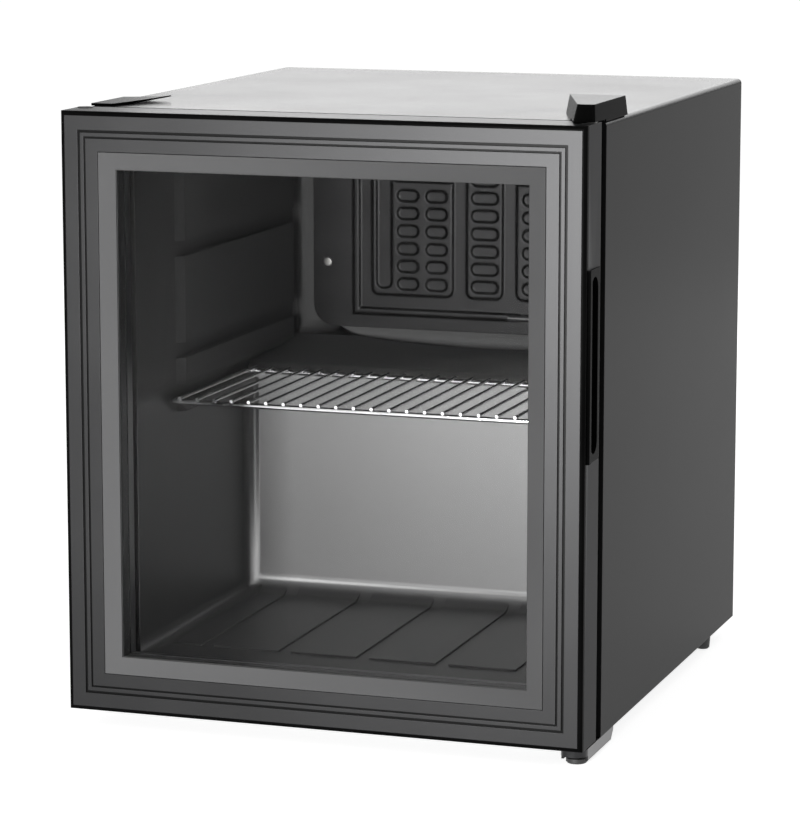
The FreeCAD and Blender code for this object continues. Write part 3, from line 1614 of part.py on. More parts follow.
def build():
    return {
        "outer_casing": outer_casing(),
        "bottom_panel": bottom_panel(),
        "back_panel": back_panel(),
        "inner_liner": inner_liner(),
        "insulation_foam": insulation_foam(),
        "evaporator_plate": evaporator_plate(),
        "evaporator_screws": evaporator_screws(),
        "thermostat_housing": thermostat_housing(),
        "thermostat_knob": thermostat_knob(),
        "sensor_tube": sensor_tube(),
        "drain_tube": drain_tube(),
        "evaporation_tray": evaporation_tray(),
        "compressor_rail": compressor_rail(),
        "compressor": compressor(),
        "compressor_grommets": compressor_grommets(),
        "compressor_bolts": compressor_bolts(),
        "starter_relay_cover": starter_relay(),
        "mains_inlet_clamp": mains_clamp(),
        "filter_drier": drier(),
        "suction_line": suction_line(),
        "discharge_line": discharge_line(),
        "capillary_tube": capillary_tube(),
        "condenser_tube": condenser_tube(),
        "condenser_wires": condenser_wire_set(),
        "condenser_brackets": condenser_brackets(),
        "condenser_screws": condenser_screws(),
        "top_hinge_bracket": top_hinge_bracket(),
        "top_hinge_pin": top_hinge_pin(),
        "top_hinge_screws": hinge_screws(top_screw_places(), cabinet_top + hinge_sheet, 1),
        "top_hinge_cover": top_hinge_cover(),
        "hinge_blank_cover": hinge_blank_cover(),
        "bottom_hinge_bracket": lower_hinge_bracket(),
        "bottom_hinge_pin": bottom_hinge_pin(),
        "bottom_hinge_screws": hinge_screws(lower_screw_places(), cabinet_bottom - hinge_sheet, -1),
        "front_foot_right": screw_foot(*right_foot_place()),
        "front_foot_left": screw_foot(*left_foot_place()),
        "left_foot_plate": left_foot_plate(),
        "rear_feet": rear_feet(),
        "wire_shelf": wire_shelf(),
        "door_edge_trim": door_edge_trim(),
        "door_face_frame": door_face_frame(),
        "door_bevel_trim": door_bevel_trim(),
        "glazing_seal": glazing_seal(),
        "outer_glass": outer_glass(),
        "glass_spacer": glass_spacer(),
        "inner_glass": inner_glass(),
        "door_core_frame": door_core_frame(),
        "door_rear_frame": door_rear_frame(),
        "door_screws": door_screws(),
        "door_gasket": door_gasket(),
        "gasket_magnets": gasket_magnets(),
        "grip_left": grip(-1),
        "grip_right": grip(1),
        "door_bush_top": bush(door_top, -1),
        "door_bush_bottom": bush(door_bottom, 1),
        "hole_plugs": hole_plugs(),
    }


os.makedirs("parts", exist_ok=True)
for name, shape in build().items():
    shape.exportStep("parts/" + name + ".step")
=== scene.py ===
import json
import math
import bpy
import bmesh
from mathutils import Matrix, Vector

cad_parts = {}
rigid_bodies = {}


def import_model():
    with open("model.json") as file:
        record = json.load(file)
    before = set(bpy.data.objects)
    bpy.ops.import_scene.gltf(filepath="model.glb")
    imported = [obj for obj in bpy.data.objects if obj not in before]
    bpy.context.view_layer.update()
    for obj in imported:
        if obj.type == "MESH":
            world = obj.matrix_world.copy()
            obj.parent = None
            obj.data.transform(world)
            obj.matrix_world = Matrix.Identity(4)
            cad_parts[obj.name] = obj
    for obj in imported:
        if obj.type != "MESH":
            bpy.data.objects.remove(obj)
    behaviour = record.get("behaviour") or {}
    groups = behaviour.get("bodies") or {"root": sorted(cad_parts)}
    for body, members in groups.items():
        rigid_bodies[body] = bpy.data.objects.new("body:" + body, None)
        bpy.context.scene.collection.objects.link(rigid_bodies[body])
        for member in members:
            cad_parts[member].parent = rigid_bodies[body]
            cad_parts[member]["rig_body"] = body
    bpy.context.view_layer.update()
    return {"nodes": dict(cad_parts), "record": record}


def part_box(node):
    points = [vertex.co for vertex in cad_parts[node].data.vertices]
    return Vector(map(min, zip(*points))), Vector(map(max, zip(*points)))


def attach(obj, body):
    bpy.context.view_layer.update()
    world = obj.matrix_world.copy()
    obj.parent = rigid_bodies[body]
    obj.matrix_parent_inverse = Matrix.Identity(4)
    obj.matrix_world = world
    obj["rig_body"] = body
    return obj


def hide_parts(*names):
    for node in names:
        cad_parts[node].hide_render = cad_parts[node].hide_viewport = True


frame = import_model()
nodes = frame["nodes"]
print("frame loaded,", len(nodes), "CAD parts")


def added(name, data):
    thing = bpy.data.objects.new(name, data)
    bpy.context.scene.collection.objects.link(thing)
    return thing


# Camera: where the photograph was taken from, in metres, with its angles to the right and above in
# degrees, and its lens and sensor in mm
camera = {"place": (0.9331, -2.8048, 0.7388), "azimuth": 18.72, "elevation": 9.81,
          "lens": 154.63, "sensor": 36, "farthest": 60}


def setCamera(values):
    data = bpy.data.cameras.new("camera")
    data.lens = values["lens"]
    data.sensor_width = values["sensor"]
    data.clip_end = values["farthest"]
    thing = added("camera", data)
    thing.location = values["place"]
    thing.rotation_euler = (math.radians(90 - values["elevation"]), 0, math.radians(values["azimuth"]))
    bpy.context.scene.camera = thing


setCamera(camera)
print("camera set")


class Sig:
    # a socket in a node tree that can be added, multiplied and compared
    def __init__(self, tree, socket):
        self.tree = tree
        self.socket = socket

    def work(self, operation, *values):
        node = self.tree.nodes.new("ShaderNodeMath")
        node.operation = operation
        for socket, value in zip(node.inputs, values):
            feed(self.tree, socket, value)
        return Sig(self.tree, node.outputs[0])

    def __add__(self, other):
        return self.work("ADD", self, other)

    def __sub__(self, other):
        return self.work("SUBTRACT", self, other)

    def __rsub__(self, other):
        return self.work("SUBTRACT", other, self)

    def __mul__(self, other):
        return self.work("MULTIPLY", self, other)

    def __truediv__(self, other):
        return self.work("DIVIDE", self, other)

    def __rtruediv__(self, other):
        return self.work("DIVIDE", other, self)

    def __pow__(self, other):
        return self.work("POWER", self, other)

    def __gt__(self, other):
        return self.work("GREATER_THAN", self, other)

    def __lt__(self, other):
        return self.work("LESS_THAN", self, other)

    def __abs__(self):
        return self.work("ABSOLUTE", self)

    def max(self, other):
        return self.work("MAXIMUM", self, other)

    def min(self, other):
        return self.work("MINIMUM", self, other)

    __radd__ = __add__
    __rmul__ = __mul__


def feed(tree, socket, value):
    if isinstance(value, Sig):
        tree.links.new(value.socket, socket)
    elif socket.type == "RGBA" and len(value) == 3:
        socket.default_value = (*value, 1)
    else:
        socket.default_value = value


class Paint:
    # a material or the world, and one method for any of its nodes
    def __init__(self, owner):
        self.owner = owner
        owner.use_nodes = True
        self.tree = owner.node_tree
        self.tree.nodes.clear()

    def node(self, kind, settings=None, inputs=None, output=0):
        made = self.tree.nodes.new("ShaderNode" + kind)
        for key, value in (settings or {}).items():
            if key == "stops":
                for stop, (place, grey) in zip(made.color_ramp.elements, value):
                    stop.position = place
                    stop.color = (grey, grey, grey, 1)
            else:
                setattr(made, key, value)
        for key, value in (inputs or {}).items():
            feed(self.tree, made.inputs[key], value)
        return Sig(self.tree, made.outputs[output]) if len(made.outputs) else made

    def place(self):
        return self.node("TexCoord", output="Object")

    def noise(self, size, detail):
        return self.node("TexNoise", inputs={"Vector": self.place(), "Scale": 1 / size, "Detail": detail})

    def ramp(self, value, *stops):
        return self.node("ValToRGB", {"stops": stops}, {"Fac": value})

    def mix(self, share, first, second):
        # the colour sockets go by number, because their names repeat
        return self.node("Mix", {"data_type": "RGBA"}, {0: share, 6: first, 7: second}, 2)

    def axis(self, name):
        return self.node("SeparateXYZ", inputs={"Vector": self.place()}, output=name)

    def bump(self, height, strength, depth, edge):
        inputs = {"Height": height, "Strength": strength, "Distance": depth}
        if edge:
            inputs["Normal"] = self.node("Bevel", {"samples": 6}, {"Radius": edge})
        return self.node("Bump", inputs=inputs)

    def finish(self, **inputs):
        named = {key.replace("_", " "): value for key, value in inputs.items()}
        shader = self.node("BsdfPrincipled", inputs=named, output="BSDF")
        self.node("OutputMaterial", inputs={"Surface": shader})
        return self.owner


# Every finish that is one moulded, painted or plated skin: two tones in soft clouds, a fine grain
# in the bump, and a sheen that drifts a little over the piece. The entry for painted groove shade
# gives a node, how far behind its front its grooves get painted shade, and the grey of that painted
# shade. "dull" gives a node, the levels under its foot between which the sheen fades, and how much
# rougher it ends up.
skins = {
    "casingPaint": {"dark": (0.012, 0.012, 0.012), "light": (0.016, 0.016, 0.016), "cloud": 0.16,
                    "grain": 0.0009, "rough": 0.24, "drift": 0.04, "bump": 0.05, "edge": 0.0012, "ior": 1.07},
    "linerPlastic": {"dark": (0.028, 0.028, 0.028), "light": (0.036, 0.036, 0.036), "cloud": 0.12,
                     "grain": 0.0016, "rough": 0.46, "drift": 0.05, "bump": 0.04, "edge": 0.0008, "ior": 2.1,
                     "dull": ("evaporator_plate", 0.018, 0.004, 0.40)},
    "foam": {"dark": (0.68, 0.60, 0.38), "light": (0.82, 0.75, 0.52), "cloud": 0.02,
             "grain": 0.0015, "rough": 0.9, "drift": 0.06, "bump": 0.8, "edge": 0},
    # the plate's very dark tone is partly its own dark coating and partly painted shade of the upper cold
    # space
    "evaporatorPlate": {"dark": (0.013, 0.013, 0.0132), "light": (0.018, 0.018, 0.0183), "cloud": 0.03,
                        "grain": 0.0007, "rough": 0.42, "drift": 0.10, "bump": 0.10, "edge": 0.0008,
                        "metal": 0.75, "ior": 1.3},
    "zinc": {"dark": (0.15, 0.15, 0.145), "light": (0.24, 0.237, 0.228), "cloud": 0.006,
             "grain": 0.0006, "rough": 0.46, "drift": 0.14, "bump": 0.10, "edge": 0.0003, "metal": 1},
    "whitePlastic": {"dark": (0.66, 0.66, 0.64), "light": (0.74, 0.74, 0.72), "cloud": 0.05,
                     "grain": 0.0008, "rough": 0.42, "drift": 0.06, "bump": 0.12, "edge": 0.0008},
    "knobPlastic": {"dark": (0.62, 0.62, 0.61), "light": (0.70, 0.70, 0.69), "cloud": 0.02,
                    "grain": 0.0006, "rough": 0.36, "drift": 0.06, "bump": 0.10, "edge": 0.0006},
    "blackPlastic": {"dark": (0.018, 0.018, 0.019), "light": (0.028, 0.028, 0.029), "cloud": 0.04,
                     "grain": 0.0008, "rough": 0.46, "drift": 0.08, "bump": 0.25, "edge": 0.0006},
    "compressorPaint": {"dark": (0.010, 0.010, 0.011), "light": (0.020, 0.020, 0.021), "cloud": 0.03,
                        "grain": 0.0014, "rough": 0.26, "drift": 0.10, "bump": 0.16, "edge": 0.0010,
                        "coat": 0.3, "coatRough": 0.12},
    "rubber": {"dark": (0.014, 0.014, 0.014), "light": (0.024, 0.024, 0.024), "cloud": 0.02,
               "grain": 0.0008, "rough": 0.72, "drift": 0.08, "bump": 0.3, "edge": 0.0006},
    "condenserPaint": {"dark": (0.012, 0.012, 0.013), "light": (0.022, 0.022, 0.023), "cloud": 0.03,
                       "grain": 0.0007, "rough": 0.34, "drift": 0.12, "bump": 0.2, "edge": 0},
    "glossBlack": {"dark": (0.002, 0.002, 0.002), "light": (0.004, 0.004, 0.004), "cloud": 0.08,
                   "grain": 0.003, "rough": 0.22, "drift": 0.04, "bump": 0.02, "edge": 0.0005, "ior": 1.04},
    "hingeSteel": {"dark": (0.022, 0.022, 0.023), "light": (0.045, 0.045, 0.046), "cloud": 0.012,
                   "grain": 0.0006, "rough": 0.16, "drift": 0.10, "bump": 0.06, "edge": 0.0004, "metal": 1},
    "footPlastic": {"dark": (0.012, 0.012, 0.012), "light": (0.022, 0.022, 0.022), "cloud": 0.01,
                    "grain": 0.0007, "rough": 0.5, "drift": 0.08, "bump": 0.25, "edge": 0.0005},
    "shelfChrome": {"dark": (0.66, 0.66, 0.67), "light": (0.80, 0.80, 0.81), "cloud": 0.02,
                    "grain": 0.0009, "rough": 0.12, "drift": 0.08, "bump": 0.03, "edge": 0, "metal": 1},
    "doorFace": {"dark": (0.025, 0.025, 0.0255), "light": (0.029, 0.029, 0.0295), "cloud": 0.11,
                 "grain": 0.0005, "rough": 0.39, "drift": 0.03, "bump": 0.10, "edge": 0.0005, "metal": 0.9,
                 # door face grooves: past a small depth behind the face's front, the colour is a flat painted
                 # shade grey
                 "paintedGrooveShade": ("door_face_frame", 0.0006, 0.004)},
    "doorBevel": {"dark": (0.040, 0.040, 0.0405), "light": (0.046, 0.046, 0.0465), "cloud": 0.09,
                  "grain": 0.0005, "rough": 0.54, "drift": 0.03, "bump": 0.10, "edge": 0.0004, "metal": 0.9},
    "sealRubber": {"dark": (0.004, 0.004, 0.004), "light": (0.008, 0.008, 0.008), "cloud": 0.03,
                   "grain": 0.0007, "rough": 0.6, "drift": 0.06, "bump": 0.15, "edge": 0.0003},
    "spacerBar": {"dark": (0.07, 0.07, 0.072), "light": (0.10, 0.10, 0.102), "cloud": 0.02,
                  "grain": 0.0008, "rough": 0.42, "drift": 0.08, "bump": 0.2, "edge": 0.0003, "metal": 0.8},
    "doorPlastic": {"dark": (0.018, 0.018, 0.019), "light": (0.024, 0.024, 0.025), "cloud": 0.09,
                    "grain": 0.0009, "rough": 0.30, "drift": 0.05, "bump": 0.10, "edge": 0.0010, "ior": 1.07},
    "doorInner": {"dark": (0.055, 0.055, 0.058), "light": (0.070, 0.070, 0.073), "cloud": 0.09,
                  "grain": 0.0009, "rough": 0.34, "drift": 0.06, "bump": 0.14, "edge": 0.0010},
    "gasketRubber": {"dark": (0.010, 0.010, 0.010), "light": (0.018, 0.018, 0.018), "cloud": 0.05,
                     "grain": 0.0008, "rough": 0.55, "drift": 0.06, "bump": 0.2, "edge": 0.0006},
    "magnet": {"dark": (0.04, 0.035, 0.03), "light": (0.06, 0.055, 0.05), "cloud": 0.01,
               "grain": 0.0006, "rough": 0.7, "drift": 0.06, "bump": 0.3, "edge": 0},
}

# What all skins share: the cloud values up to which a tone is dark and from which it is light, how
# much the grain roughens the sheen, its depth as a share of its size, the drift of a coat, and the
# index of refraction where a skin gives none
skinHabit = {"darkUpTo": 0.3, "lightFrom": 0.7, "grainSheen": 0.06, "grainDepthShare": 0.25,
             "coatDrift": 0.1, "ior": 1.5}


def skinPaint(name, look, habit):
    paint = Paint(bpy.data.materials.new(name))
    cloud = paint.noise(look["cloud"], detail=3)
    grain = paint.noise(look["grain"], detail=2)
    tone = paint.ramp(cloud, (habit["darkUpTo"], 0), (habit["lightFrom"], 1))
    base = paint.mix(tone, look["dark"], look["light"])
    rough = (cloud - 0.5) * look["drift"] * 2 + (grain - 0.5) * habit["grainSheen"] + look["rough"]
    extra = {"Metallic": look.get("metal", 0), "IOR": look.get("ior", habit["ior"])}
    # painted shade in grooves: whatever lies more than a small depth behind the node's front turns a flat
    # dark grey
    if "paintedGrooveShade" in look:
        node, depth, shade = look["paintedGrooveShade"]
        base = paint.mix(paint.axis("Y") > (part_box(node)[0].y + depth), base, (shade, shade, shade))
    if "dull" in look:
        node, under, until, more = look["dull"]
        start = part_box(node)[0].z - under
        rough = rough + ((paint.axis("Z") - start) / (under - until)).max(0).min(1) * more
    if "coat" in look:
        extra["Coat_Weight"] = look["coat"] + (cloud - 0.5) * habit["coatDrift"]
        extra["Coat_Roughness"] = look["coatRough"]
    return paint.finish(
        Base_Color=base, Roughness=rough,
        Normal=paint.bump(grain, look["bump"], look["grain"] * habit["grainDepthShare"], look["edge"]),
        **extra)


# Galvanised sheet: zinc flowers, cells that differ in tone and sheen
flowers = {"perMetre": 70, "cloud": 0.05, "dark": (0.20, 0.205, 0.21), "light": (0.34, 0.345, 0.35),
           "cellShare": 0.6, "rough": 0.55, "cellSheen": 0.12, "cloudSheen": 0.1,
           "bump": 0.06, "depth": 0.0004, "edge": 0.0004}


def galvanisedPaint(look):
    paint = Paint(bpy.data.materials.new("galvanisedSheet"))
    cells = paint.node("TexVoronoi", {"feature": "F1"},
                       {"Vector": paint.place(), "Scale": look["perMetre"], "Randomness": 1}, "Color")
    tone = paint.node("SeparateColor", inputs={"Color": cells})
    cloud = paint.noise(look["cloud"], detail=3)
    share = tone * look["cellShare"] + cloud * (1 - look["cellShare"])
    return paint.finish(
        Base_Color=paint.mix(share, look["dark"], look["light"]), Metallic=1,
        Roughness=tone * look["cellSheen"] + cloud * look["cloudSheen"] + look["rough"],
        Normal=paint.bump(tone, look["bump"], look["depth"], look["edge"]))


# Copper pipe: bare in the machine room, which lies behind one depth or below one level, and drawn
# through a dark sleeve inside the cold space
copper = {"dark": (0.50, 0.22, 0.12), "light": (0.86, 0.46, 0.30), "sleeve": (0.035, 0.035, 0.036),
          "behind": 0.19, "below": 0.26, "cloud": 0.014, "grain": 0.0008, "rough": 0.22,
          "cloudSheen": 0.2, "grainSheen": 0.05, "bump": 0.08, "depth": 0.0002}


def copperPaint(look):
    paint = Paint(bpy.data.materials.new("copper"))
    cloud = paint.noise(look["cloud"], detail=3)
    grain = paint.noise(look["grain"], detail=2)
    bare = paint.mix(cloud, look["dark"], look["light"])
    outside = (paint.axis("Y") > look["behind"]).max(paint.axis("Z") < look["below"])
    return paint.finish(
        Base_Color=paint.mix(outside, look["sleeve"], bare), Metallic=outside,
        Roughness=cloud * look["cloudSheen"] + grain * look["grainSheen"] + look["rough"],
        Normal=paint.bump(grain, look["bump"], look["depth"], 0))


# Panes: looked through, with a faint grey cast, a weak reflection and a trace of haze
pane = {"cast": (0.985, 0.985, 0.985), "shine": (1, 1, 1), "ior": 1.07, "haze": 0.09,
        "clearRough": 0.01, "hazeRough": 0.03, "leastShine": 0.9, "hazeShine": 0.2}


def glassPaint(look):
    paint = Paint(bpy.data.materials.new("paneGlass"))
    haze = paint.noise(look["haze"], detail=3)
    clear = paint.node("BsdfTransparent", inputs={"Color": look["cast"]})
    shine = paint.node("BsdfGlossy", inputs={
        "Color": look["shine"], "Roughness": haze * look["hazeRough"] + look["clearRough"]})
    edge = paint.node("Fresnel", inputs={"IOR": look["ior"]})
    share = edge * (haze * look["hazeShine"] + look["leastShine"])
    blend = paint.node("MixShader", inputs={0: share, 1: clear, 2: shine})
    paint.node("OutputMaterial", inputs={"Surface": blend})
    return paint.owner


paints = {name: skinPaint(name, look, skinHabit) for name, look in skins.items()}
paints["galvanisedSheet"] = galvanisedPaint(flowers)
paints["copper"] = copperPaint(copper)
paints["paneGlass"] = glassPaint(pane)
slotPaints = {
    "black_steel": "casingPaint", "galvanised": "galvanisedSheet", "liner": "linerPlastic", "foam": "foam",
    "evaporator": "evaporatorPlate", "zinc": "zinc", "white_plastic": "whitePlastic", "knob": "knobPlastic",
    "copper": "copper", "black_plastic": "blackPlastic", "compressor_paint": "compressorPaint",
    "rubber": "rubber", "condenser_paint": "condenserPaint", "gloss_black": "glossBlack",
    "bright_steel": "hingeSteel", "foot_plastic": "footPlastic", "shelf_chrome": "shelfChrome",
    "brushed_black": "doorFace", "brushed_bevel": "doorBevel", "seal": "sealRubber", "glass": "paneGlass",
    "spacer": "spacerBar", "door_plastic": "doorPlastic", "door_inner": "doorInner",
    "gasket": "gasketRubber", "magnet": "magnet"}
nodeSlots = {part["node"]: part["material_slot"] for part in frame["record"]["subparts"]}
paintOf = {name: paints[slotPaints[nodeSlots[name]]] for name in nodes}
bodyOf = {name: thing["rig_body"] for name, thing in nodes.items()}
for name, thing in nodes.items():
    thing.data.materials.clear()
    thing.data.materials.append(paintOf[name])
print("finishes mixed:", len(paints))


def settle(name, mesh, node, smooth=None):
    # a finished piece stands for its CAD node, on the same body and with the same finish
    thing = added(name, mesh)
    mesh.materials.clear()
    mesh.materials.append(paintOf[node])
    for face in mesh.polygons:
        face.material_index = 0
    if smooth:
        mesh.shade_smooth()
        mesh.set_sharp_from_angle(angle=math.radians(smooth))
    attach(thing, bodyOf[node])
    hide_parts(node)
    return thing


def baked(thing):
    # the plain mesh that an object with modifiers ends up as, and the object itself goes
    view = bpy.context.evaluated_depsgraph_get()
    mesh = bpy.data.meshes.new_from_object(thing.evaluated_get(view), depsgraph=view)
    bpy.data.objects.remove(thing)
    return mesh


def roundEdges(thing, width, steps, angle, miter="MITER_SHARP"):
    bevel = thing.modifiers.new("round", "BEVEL")
    bevel.width = width
    bevel.segments = steps
    bevel.limit_method = "ANGLE"
    bevel.angle_limit = math.radians(angle)
    bevel.miter_outer = miter


# The floor pads end on the round foot of the hump: its axis in Y and Z, the radius at their face and
# at the liner's own face, how near a corner lies to the pads' face, the level past which nothing
# moves, the angles up the foot between which the pads run out, and how close corners then merge
padEnds = {"axis": (0.044, 0.066), "face": 0.0165, "wall": 0.018, "near": 0.0001, "top": 0.0745,
           "runOut": (32, 50), "merge": 0.00002}


def endPads(work, values):
    first, last = values["runOut"]
    for vert in work.verts:
        y = vert.co.y - values["axis"][0]
        z = values["axis"][1] - vert.co.z
        radius = math.hypot(y, max(z, 0))
        if y <= 0 or vert.co.z > values["top"] or abs(radius - values["face"]) > values["near"]:
            continue
        share = min(1, max(0, (math.degrees(math.atan2(y, max(z, 0))) - first) / (last - first)))
        grow = 1 + share * (values["wall"] / radius - 1)
        vert.co.y = values["axis"][0] + y * grow
        if z > 0:
            vert.co.z = values["axis"][1] - z * grow
    bmesh.ops.remove_doubles(work, verts=work.verts, dist=values["merge"])


# A dressed CAD shape: how close its corners merge, how flat a seam is dissolved, in how many steps
# and past which corner an edge is rounded, and past which corner the shading of an unrounded one
# stays sharp. The liner's large faces lead its normals, so that no streaks run over them.
dressing = {"merge": 0.000004, "flat": 0.6, "steps": 2, "corner": 40, "sharp": 34,
            "fine": ("door_face_frame", "door_edge_trim"), "fineSharp": 12,
            "led": "inner_liner", "largeFace": 0.002, "lead": 16384}


def dressed(node, width, values):
    mesh = nodes[node].data.copy()
    work = bmesh.new()
    work.from_mesh(mesh)
    bmesh.ops.remove_doubles(work, verts=work.verts, dist=values["merge"])
    led = node == values["led"]
    if led:
        endPads(work, padEnds)
    bmesh.ops.dissolve_limit(
        work, angle_limit=math.radians(values["flat"]), verts=work.verts, edges=work.edges)
    work.to_mesh(mesh)
    work.free()
    mesh.shade_smooth()
    thing = added("working", mesh)
    if width:
        roundEdges(thing, width, values["steps"], values["corner"], "MITER_ARC")
    else:
        sharp = values["fineSharp"] if node in values["fine"] else values["sharp"]
        mesh.set_sharp_from_angle(angle=math.radians(sharp))
    if led:
        strength = mesh.attributes.new("__mod_weightednormals_faceweight", "INT", "FACE")
        leads = [values["lead"] * (face.area > values["largeFace"]) for face in mesh.polygons]
        strength.data.foreach_set("value", leads)
    even = thing.modifiers.new("even", "WEIGHTED_NORMAL")
    even.mode = "CORNER_ANGLE" if led else "FACE_AREA"
    even.use_face_influence = led
    even.keep_sharp = True
    return settle(node + "Skin", baked(thing), node)


class Grow:
    # a geometry node tree with named inputs
    def __init__(self, name, inputs):
        self.tree = bpy.data.node_groups.new(name, "GeometryNodeTree")
        face = self.tree.interface
        face.new_socket("Geometry", in_out="INPUT", socket_type="NodeSocketGeometry")
        self.keys = {}
        for label, kind in inputs.items():
            self.keys[label] = face.new_socket(
                label, in_out="INPUT", socket_type="NodeSocket" + kind).identifier
        face.new_socket("Geometry", in_out="OUTPUT", socket_type="NodeSocketGeometry")
        self.given = self.tree.nodes.new("NodeGroupInput").outputs

    def node(self, kind, inputs=None, settings=None, output=0):
        made = self.tree.nodes.new(kind)
        for key, value in (settings or {}).items():
            setattr(made, key, value)
        for key, value in (inputs or {}).items():
            value = value.socket if isinstance(value, Sig) else value
            if isinstance(value, bpy.types.NodeSocket):
                self.tree.links.new(value, made.inputs[key])
            else:
                made.inputs[key].default_value = value
        return made.outputs[output]

    def sig(self, socket):
        return Sig(self.tree, self.given[socket] if isinstance(socket, str) else socket)

    def end(self, geometry, smooth=True):
        if smooth:
            geometry = self.node("GeometryNodeSetShadeSmooth", {"Geometry": geometry})
        real = self.node("GeometryNodeRealizeInstances", {"Geometry": geometry})
        painted = self.node("GeometryNodeSetMaterial", {"Geometry": real, "Material": self.given["Material"]})
        out = self.tree.nodes.new("NodeGroupOutput")
        self.tree.links.new(painted, out.inputs[0])
        return self

    def run(self, source, values, rounds=None):
        thing = added("growing", source)
        step = thing.modifiers.new("grow", "NODES")
        step.node_group = self.tree
        for label, value in values.items():
            step[self.keys[label]] = value
        if rounds:
            roundEdges(thing, *rounds)
        return baked(thing)


def polyline(points, closed=False):
    mesh = bpy.data.meshes.new("path")
    count = len(points)
    edges = [(i, i + 1) for i in range(count - 1)]
    if closed:
        edges.append((count - 1, 0))
    mesh.from_pydata([tuple(p) for p in points], edges, [])
    return mesh


def tubeTree():
    # a round tube along a bent path
    grow = Grow("bentTube", {"Radius": "Float", "Bend": "Float", "Steps": "Int", "Sides": "Int",
                             "Material": "Material"})
    line = grow.node("GeometryNodeMeshToCurve", {"Mesh": grow.given["Geometry"]})
    bent = grow.node("GeometryNodeFilletCurve", {
        "Curve": line, "Count": grow.given["Steps"], "Radius": grow.given["Bend"], "Limit Radius": True},
        {"mode": "POLY"})
    ring = grow.node("GeometryNodeCurvePrimitiveCircle", {
        "Resolution": grow.given["Sides"], "Radius": grow.given["Radius"]})
    skin = grow.node("GeometryNodeCurveToMesh", {"Curve": bent, "Profile Curve": ring, "Fill Caps": True})
    return grow.end(skin)


def rackTree():
    # equal straight wires, side by side
    grow = Grow("wireRack", {"Count": "Int", "First": "Vector", "Step": "Vector", "Reach": "Vector",
                             "Radius": "Float", "Sides": "Int", "Material": "Material"})
    row = grow.node("GeometryNodeMeshLine", {
        "Count": grow.given["Count"], "Start Location": grow.given["First"], "Offset": grow.given["Step"]})
    line = grow.node("GeometryNodeCurvePrimitiveLine", {"End": grow.given["Reach"]})
    ring = grow.node("GeometryNodeCurvePrimitiveCircle", {
        "Resolution": grow.given["Sides"], "Radius": grow.given["Radius"]})
    wire = grow.node("GeometryNodeCurveToMesh", {"Curve": line, "Profile Curve": ring, "Fill Caps": True})
    wires = grow.node("GeometryNodeInstanceOnPoints", {"Points": row, "Instance": wire})
    return grow.end(wires)


def studTree():
    # a fastener on every point: a head above its seat and a shank below
    grow = Grow("studs", {"Head Radius": "Float", "Head Length": "Float", "Head Sides": "Int",
                          "Shank Radius": "Float", "Shank Length": "Float", "Shank Sides": "Int",
                          "Turn": "Rotation", "Material": "Material"})
    parts = []
    for label, way in (("Head", 0.5), ("Shank", -0.5)):
        rod = grow.node("GeometryNodeMeshCylinder", {
            "Vertices": grow.given[label + " Sides"], "Radius": grow.given[label + " Radius"],
            "Depth": grow.given[label + " Length"]})
        lift = grow.node("ShaderNodeCombineXYZ", {"Z": grow.sig(label + " Length") * way})
        parts.append(grow.node("GeometryNodeTransform", {"Geometry": rod, "Translation": lift}))
    whole = grow.node("GeometryNodeJoinGeometry")
    joint = whole.node.inputs[0]
    for part in parts:
        grow.tree.links.new(part, joint)
    studs = grow.node("GeometryNodeInstanceOnPoints", {
        "Points": grow.given["Geometry"], "Instance": whole, "Rotation": grow.given["Turn"]})
    return grow.end(studs, smooth=False)


bentTube = tubeTree()
wireRack = rackTree()
studs = studTree()


def tubeMesh(points, radius, bend, node, closed=False, sides=14, steps=6):
    return bentTube.run(polyline(points, closed), {
        "Radius": radius, "Bend": bend, "Steps": steps, "Sides": sides,
        "Material": paintOf[node]})


def rackMesh(count, first, step, reach, radius, node, sides=10):
    return wireRack.run(bpy.data.meshes.new("seed"), {
        "Count": count, "First": first, "Step": step, "Reach": reach, "Radius": radius, "Sides": sides,
        "Material": paintOf[node]})


def meshOf(work, name):
    mesh = bpy.data.meshes.new(name)
    work.to_mesh(mesh)
    work.free()
    return mesh


def joined(meshes):
    # several meshes of one piece as one mesh
    work = bmesh.new()
    for mesh in meshes:
        work.from_mesh(mesh)
    return meshOf(work, "joined")


def turned(outline, centre, steps):
    # a round piece about an upright axis, from its radii and heights, closed where the radius is 0
    work = bmesh.new()
    rings = []
    for radius, z in outline:
        if radius == 0:
            rings.append([work.verts.new((centre[0], centre[1], z))])
            continue
        angles = [2 * math.pi * i / steps for i in range(steps)]
        ring = [(centre[0] + radius * math.cos(a), centre[1] + radius * math.sin(a), z) for a in angles]
        rings.append([work.verts.new(spot) for spot in ring])
    for low, high in zip(rings, rings[1:]):
        for i in range(steps):
            a, b = low[i % len(low)], low[(i + 1) % len(low)]
            c, d = high[(i + 1) % len(high)], high[i % len(high)]
            corners = [v for n, v in enumerate((a, b, c, d)) if v not in (a, b, c, d)[:n]]
            work.faces.new(corners)
    bmesh.ops.recalc_face_normals(work, faces=work.faces)
    return meshOf(work, "turned")


